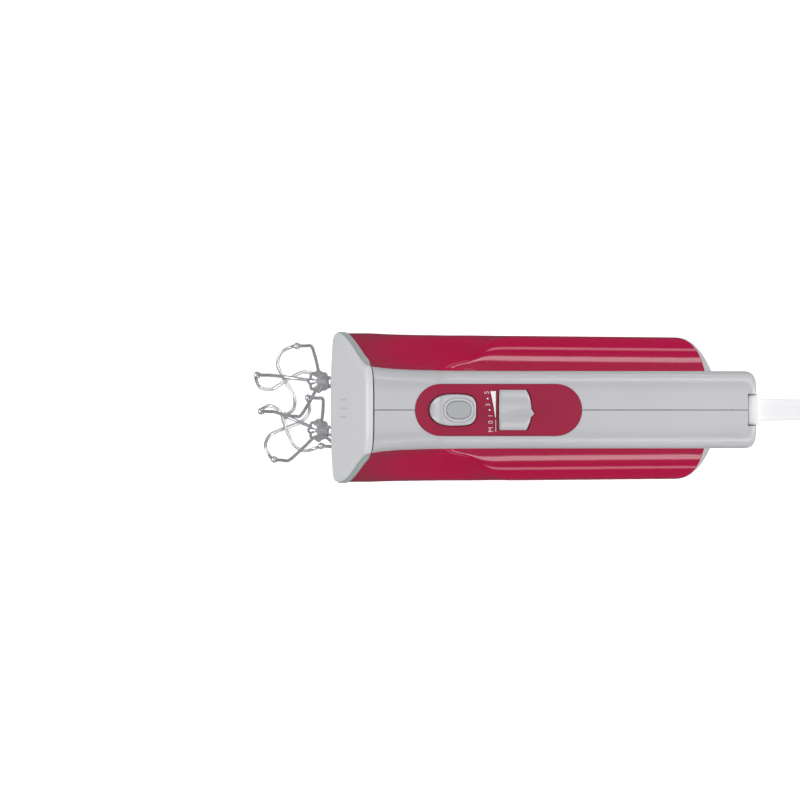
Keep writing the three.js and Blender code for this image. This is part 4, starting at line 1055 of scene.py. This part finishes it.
def make_whisks():
    hub = WHISK["hub"]
    hub_profile = [(1.2, -5.6), (3.0, -5.1), (4.6, -3.9), (5.7, -2.1), (6.1, -0.2), (5.8, 1.6), (4.9, 3.0),
                   (3.9, 4.0), (3.4, 4.8), (3.0, 5.2)]
    hub_faces = lathe_faces([(r, z + hub) for r, z in hub_profile], 96, 8, 0.07)
    shaft_faces = lathe_faces([(2.6, hub + 4.6), (2.9, hub + 5.2), (2.9, -38), (3.5, -37.4), (3.7, -36.6),
                               (3.5, -35.8), (2.9, -35.2), (2.9, 72.4), (2.5, 73.4), (1.8, 74)], 40)

    def whisk_piece(name, part, surfaces, angle=32):
        leaning = [(to_drive(points, SIDES[name]), faces) for points, faces in surfaces]
        piece = skinned(f"{name}_whisk_{part}_piece", leaning, angle)
        dress(piece, f"{name}_whisk", "whisk_steel", [f"{name}_whisk_{part}"])

    for name, side in SIDES.items():
        whisk_piece(name, "hub", [hub_faces])
        whisk_piece(name, "shaft", [shaft_faces])
        for loop, turn, drop in (("a", 0, 0), ("b", math.pi / 2, 2.4)):
            start = WHISK_PHASE[name] + turn
            wire = tube_faces(whisk_wire(start, side, drop), WHISK["wire"], 14)
            whisk_piece(name, f"loop_{loop}", [wire, bead_faces(start), bead_faces(start + math.pi)], 50)


def make_port_collars():
    """A short ring round each hole in the underside."""
    profile = [(6.05, 1), (6.05, -1.4), (6.5, -1.8), (8.2, -1.8), (8.8, -1.2), (8.9, 1)]
    points, faces = lathe_faces(profile, closed=True)
    parts = [(to_drive(points, side), faces) for side in (-1, 1)]
    dress(skinned("port_collars", parts), "housing", "rim_grey")


# ---------- cord end, plug and tie ----------
def make_relief():
    def ring(x, half, corner, up):
        """A rounded square across the cord, growing into a circle as the corner reaches the half."""
        return [(x, y, z + up) for y, z in rounded_box((-half, -half), (half, half), corner, 7)]

    collar = [(75.8, 7.3), (75.9, 7.75), (76.2, 8.0), (80.9, 8.0), (81.4, 7.85), (81.7, 7.4)]
    rings = [ring(x, half, 1.5 - (8.0 - half), 0.15) for x, half in collar]
    rings += [ring(81.75, 6.1, 6.05, 0)]
    sleeve = [(82.2, 5.9), (83, 5.85), (95, 5.62), (110, 5.32), (124, 5.02), (124.7, 4.8), (125, 4.4)]
    rings += [ring(x, half, half * 0.999, 0) for x, half in sleeve]
    rings += [ring(125, 3.6, 3.596, 0), ring(124.2, 3.5, 3.496, 0)]
    front = [ring(68, 4.4, 4.396, 0), ring(68.1, 5.6, 5.595, 0), ring(75.8, 5.85, 5.845, 0)]
    return lofted("strain_relief_piece", front + rings)


def make_plug():
    """A slim two-pin plug with a waisted body, lying flat with its pins towards -Y."""
    stations = [(-17.9, 4.6, 3.9), (-17.2, 5.4, 4.5), (-12, 6.3, 5.2), (-6, 7.8, 5.9), (2, 10.2, 6.3),
                (10, 12.3, 6.45), (16.5, 12.95, 6.45), (17.7, 12.6, 6.1), (18, 11.8, 5.5)]
    rings = []
    for along, half, thick in stations:
        outline = rounded_box((-half, -thick), (half, thick), min(thick, half) * 0.62, 6)
        y = PLUG["tail_y"] - 18 - along
        rings.append([(PLUG["x"] + u, y, PLUG["z"] + v) for u, v in outline])
    plug = lofted("plug_piece", rings)
    points, faces = lathe_faces([(2.4, 0), (2.4, -9.6), (2.25, -9.8), (2.25, -10), (2.35, -10.1),
                                 (2.4, -17.4), (1.9, -18.6), (1.0, -19)], 28)
    places = [np.array([PLUG["x"] + 9.3 * side, PLUG["tail_y"] - 36, PLUG["z"]]) for side in (-1, 1)]
    return plug, skinned("plug_pins", [(points[:, (0, 2, 1)] + place, faces) for place in places])


def make_tie():
    """A band round the winding."""
    x0, x1 = COIL["x"] + 30.4, COIL["x"] + 46.6
    z0, z1 = -275.4, -259.5
    outline = rounded_box((x0 + 0.4, z0 + 0.4), (x1 - 0.4, z1 - 0.4), 3, 8)
    band = rounded_box((-2.6, -0.4), (2.6, 0.4), 0.35, 3)
    centre = np.array([(x0 + x1) / 2, (z0 + z1) / 2])
    rings = []
    for x, z in outline:
        out = np.array([x, z]) - centre
        out /= np.linalg.norm(out)
        rings.append([(x + out[0] * t, COIL["y"] + y, z + out[1] * t) for y, t in band])
    return lofted("cord_tie_piece", rings, closed=True, angle=50)


def make_cord_pieces(cord):
    cord.data.materials.append(MATERIALS["cord_white"])
    relief = dress(make_relief(), "housing", "cord_white", ["strain_relief"])
    plug, prongs = make_plug()
    dress(plug, "housing", "cord_white", ["plug"])
    dress(prongs, "housing", "steel")
    tie = dress(make_tie(), "housing", "tie_black", ["cord_tie"])


# ---------- the rest ----------
def make_rating_plate():
    outline = [rounded_box((-55 + i, -12 + i), (5 - i, 12 - i), 2 - i * 0.5) for i in (0, 0, 0.25)]
    heights = (-122.3, -122.95, -123.1)
    rings = [[(x, y, z) for x, y in ring] for ring, z in zip(outline, heights)]
    dress(lofted("rating_plate_piece", rings), "housing", "plate_foil", ["rating_plate"])


def make_spring():
    """The button's return spring, which shortens as the button goes down; here it is a fixed coil."""
    low, high, turns, radius = -10.8, 5, 5, 3.6
    count = 28 * turns
    path = [(-69 + radius * math.cos(2 * math.pi * turns * t), radius * math.sin(2 * math.pi * turns * t),
             lerp(low, high, t)) for t in (i / count for i in range(count + 1))]
    spring = skinned("eject_spring_piece", [tube_faces(path, 0.5, 10)])
    dress(spring, "housing", "steel", ["eject_spring"])
    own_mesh(spring)


def both(*parts):
    return [f"{side}_{part}" for side in SIDES for part in parts]


NODE_LOOKS = {
    "zinc": ["gear_frame"],
    "bronze": ["front_bearing", "rear_bearing", *both("lower_bush", "upper_bush", "brush_holder")],
    "lamination": ["motor_stator", "armature_core"],
    "copper": ["upper_field_coil", "lower_field_coil", "front_armature_winding", "rear_armature_winding",
               "commutator"],
    "nylon": ["ejector_frame", *both("worm_wheel")],
    "black_plastic": ["rear_motor_bracket", "speed_switch", "cooling_fan"],
    "carbon": both("carbon_brush"),
    "steel": ["speed_knob_pin", "armature_shaft", *both("spindle"), "body_screw_front", "body_screw_rear",
              "handle_screw_front", "handle_screw_rear"],
    "cord_white": ["handle_lead"],
}


def dress_nodes():
    for slot, names in NODE_LOOKS.items():
        for name in names:
            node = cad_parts[name]
            node.data.materials.clear()
            node.data.materials.append(MATERIALS[slot])


# ---------- floor, light ----------
def make_floor():
    half_side = 60
    mesh = bpy.data.meshes.new("floor")
    z = FLOOR_Z * MM
    corners = [(x * half_side, y * half_side, z) for x, y in ((-1, -1), (1, -1), (1, 1), (-1, 1))]
    mesh.from_pydata(corners, [], [(0, 1, 2, 3)])
    floor = new_object("floor", mesh)
    n = Nodes("floor_white")
    shade = n.between(n.noise(3, 2), 0.94, 0.96)
    colour = n.add("ShaderNodeCombineColor", {"Red": shade, "Green": shade, "Blue": shade})
    n.shade({"Base Color": colour.outputs[0], "Roughness": 0.9, "Specular IOR Level": 0.1,
             "Emission Color": (1, 1, 1, 1), "Emission Strength": 0.16})
    mesh.materials.append(n.material)
    floor.visible_glossy = False


def soft_box(name, width, height, radiance):
    """A soft box given by its brightness, so that its size doesn't change its reflection's strength."""
    data = bpy.data.lights.new(name, "AREA")
    data.shape, data.size, data.size_y = "RECTANGLE", width, height
    data.energy = radiance * math.pi * width * height
    return new_object(name, data)


def aimed_light(name, place, target, size, radiance):
    light = soft_box(name, *size, radiance)
    light.location = place
    aim = Vector(target) - Vector(place)
    light.rotation_euler = aim.to_track_quat("-Z", "Y").to_euler()


def strip_light(name, side, from_vertical, width, radiance, front_x, rear_x):
    """A long strip beside the mixer and parallel to it, seen from the body at an angle from straight up."""
    distance = 1.1
    a = math.radians(from_vertical)
    light = soft_box(name, rear_x - front_x, 2 * distance * math.tan(math.radians(width / 2)), radiance)
    out = Vector((0, side * math.sin(a), math.cos(a)))
    along = Vector((1, 0, 0))
    centre = Vector(((front_x + rear_x) / 2, 0, -0.07)) + distance * out
    turn = Matrix((along, out.cross(along), out)).transposed().to_4x4()
    light.matrix_world = Matrix.Translation(centre) @ turn


def make_world():
    """A dim room that grows lighter towards the ceiling."""
    world = bpy.data.worlds.new("studio")
    bpy.context.scene.world = world
    world.use_nodes = True
    tree = world.node_tree
    sky = tree.nodes["Background"]
    direction = tree.nodes.new("ShaderNodeTexCoord")
    parts = tree.nodes.new("ShaderNodeSeparateXYZ")
    tree.links.new(direction.outputs["Generated"], parts.inputs[0])
    grade = tree.nodes.new("ShaderNodeMapRange")
    for key, value in {"From Min": 0.05, "From Max": 0.9, "To Min": 0.06, "To Max": 0.62}.items():
        grade.inputs[key].default_value = value
    tree.links.new(parts.outputs["Z"], grade.inputs["Value"])
    sky.inputs["Color"].default_value = (0.97, 0.98, 1.0, 1)
    tree.links.new(grade.outputs["Result"], sky.inputs["Strength"])


def make_lights():
    make_world()
    aimed_light("overhead", (-0.1, 0.0, 3.4), (-0.05, 0, 0), (3.4, 3.4), 1.15)
    aimed_light("front_box", (-1.7, 0.0, 0.3), (-0.1, 0, -0.02), (1.4, 0.6), 6.2)
    aimed_light("rear_box", (1.7, 0.0, 0.3), (0.06, 0, -0.05), (1.2, 0.6), 6.5)
    for side in (-1, 1):
        strip_light(f"strip_{side}", side, 60, 12, 6.0, -0.075, 1.2)
        strip_light(f"thin_strip_{side}", side, 92, 9, 2.8, -0.06, 1.2)
    bpy.context.scene.view_settings.view_transform = "Standard"


cord_piece = make_cord()
make_cord_pieces(cord_piece)
make_casings()
make_rear_cover()
make_nose()
make_panel()
make_button()
make_knob()
make_scale()
make_whisks()
make_port_collars()
make_rating_plate()
make_spring()
dress_nodes()
make_floor()
make_lights()
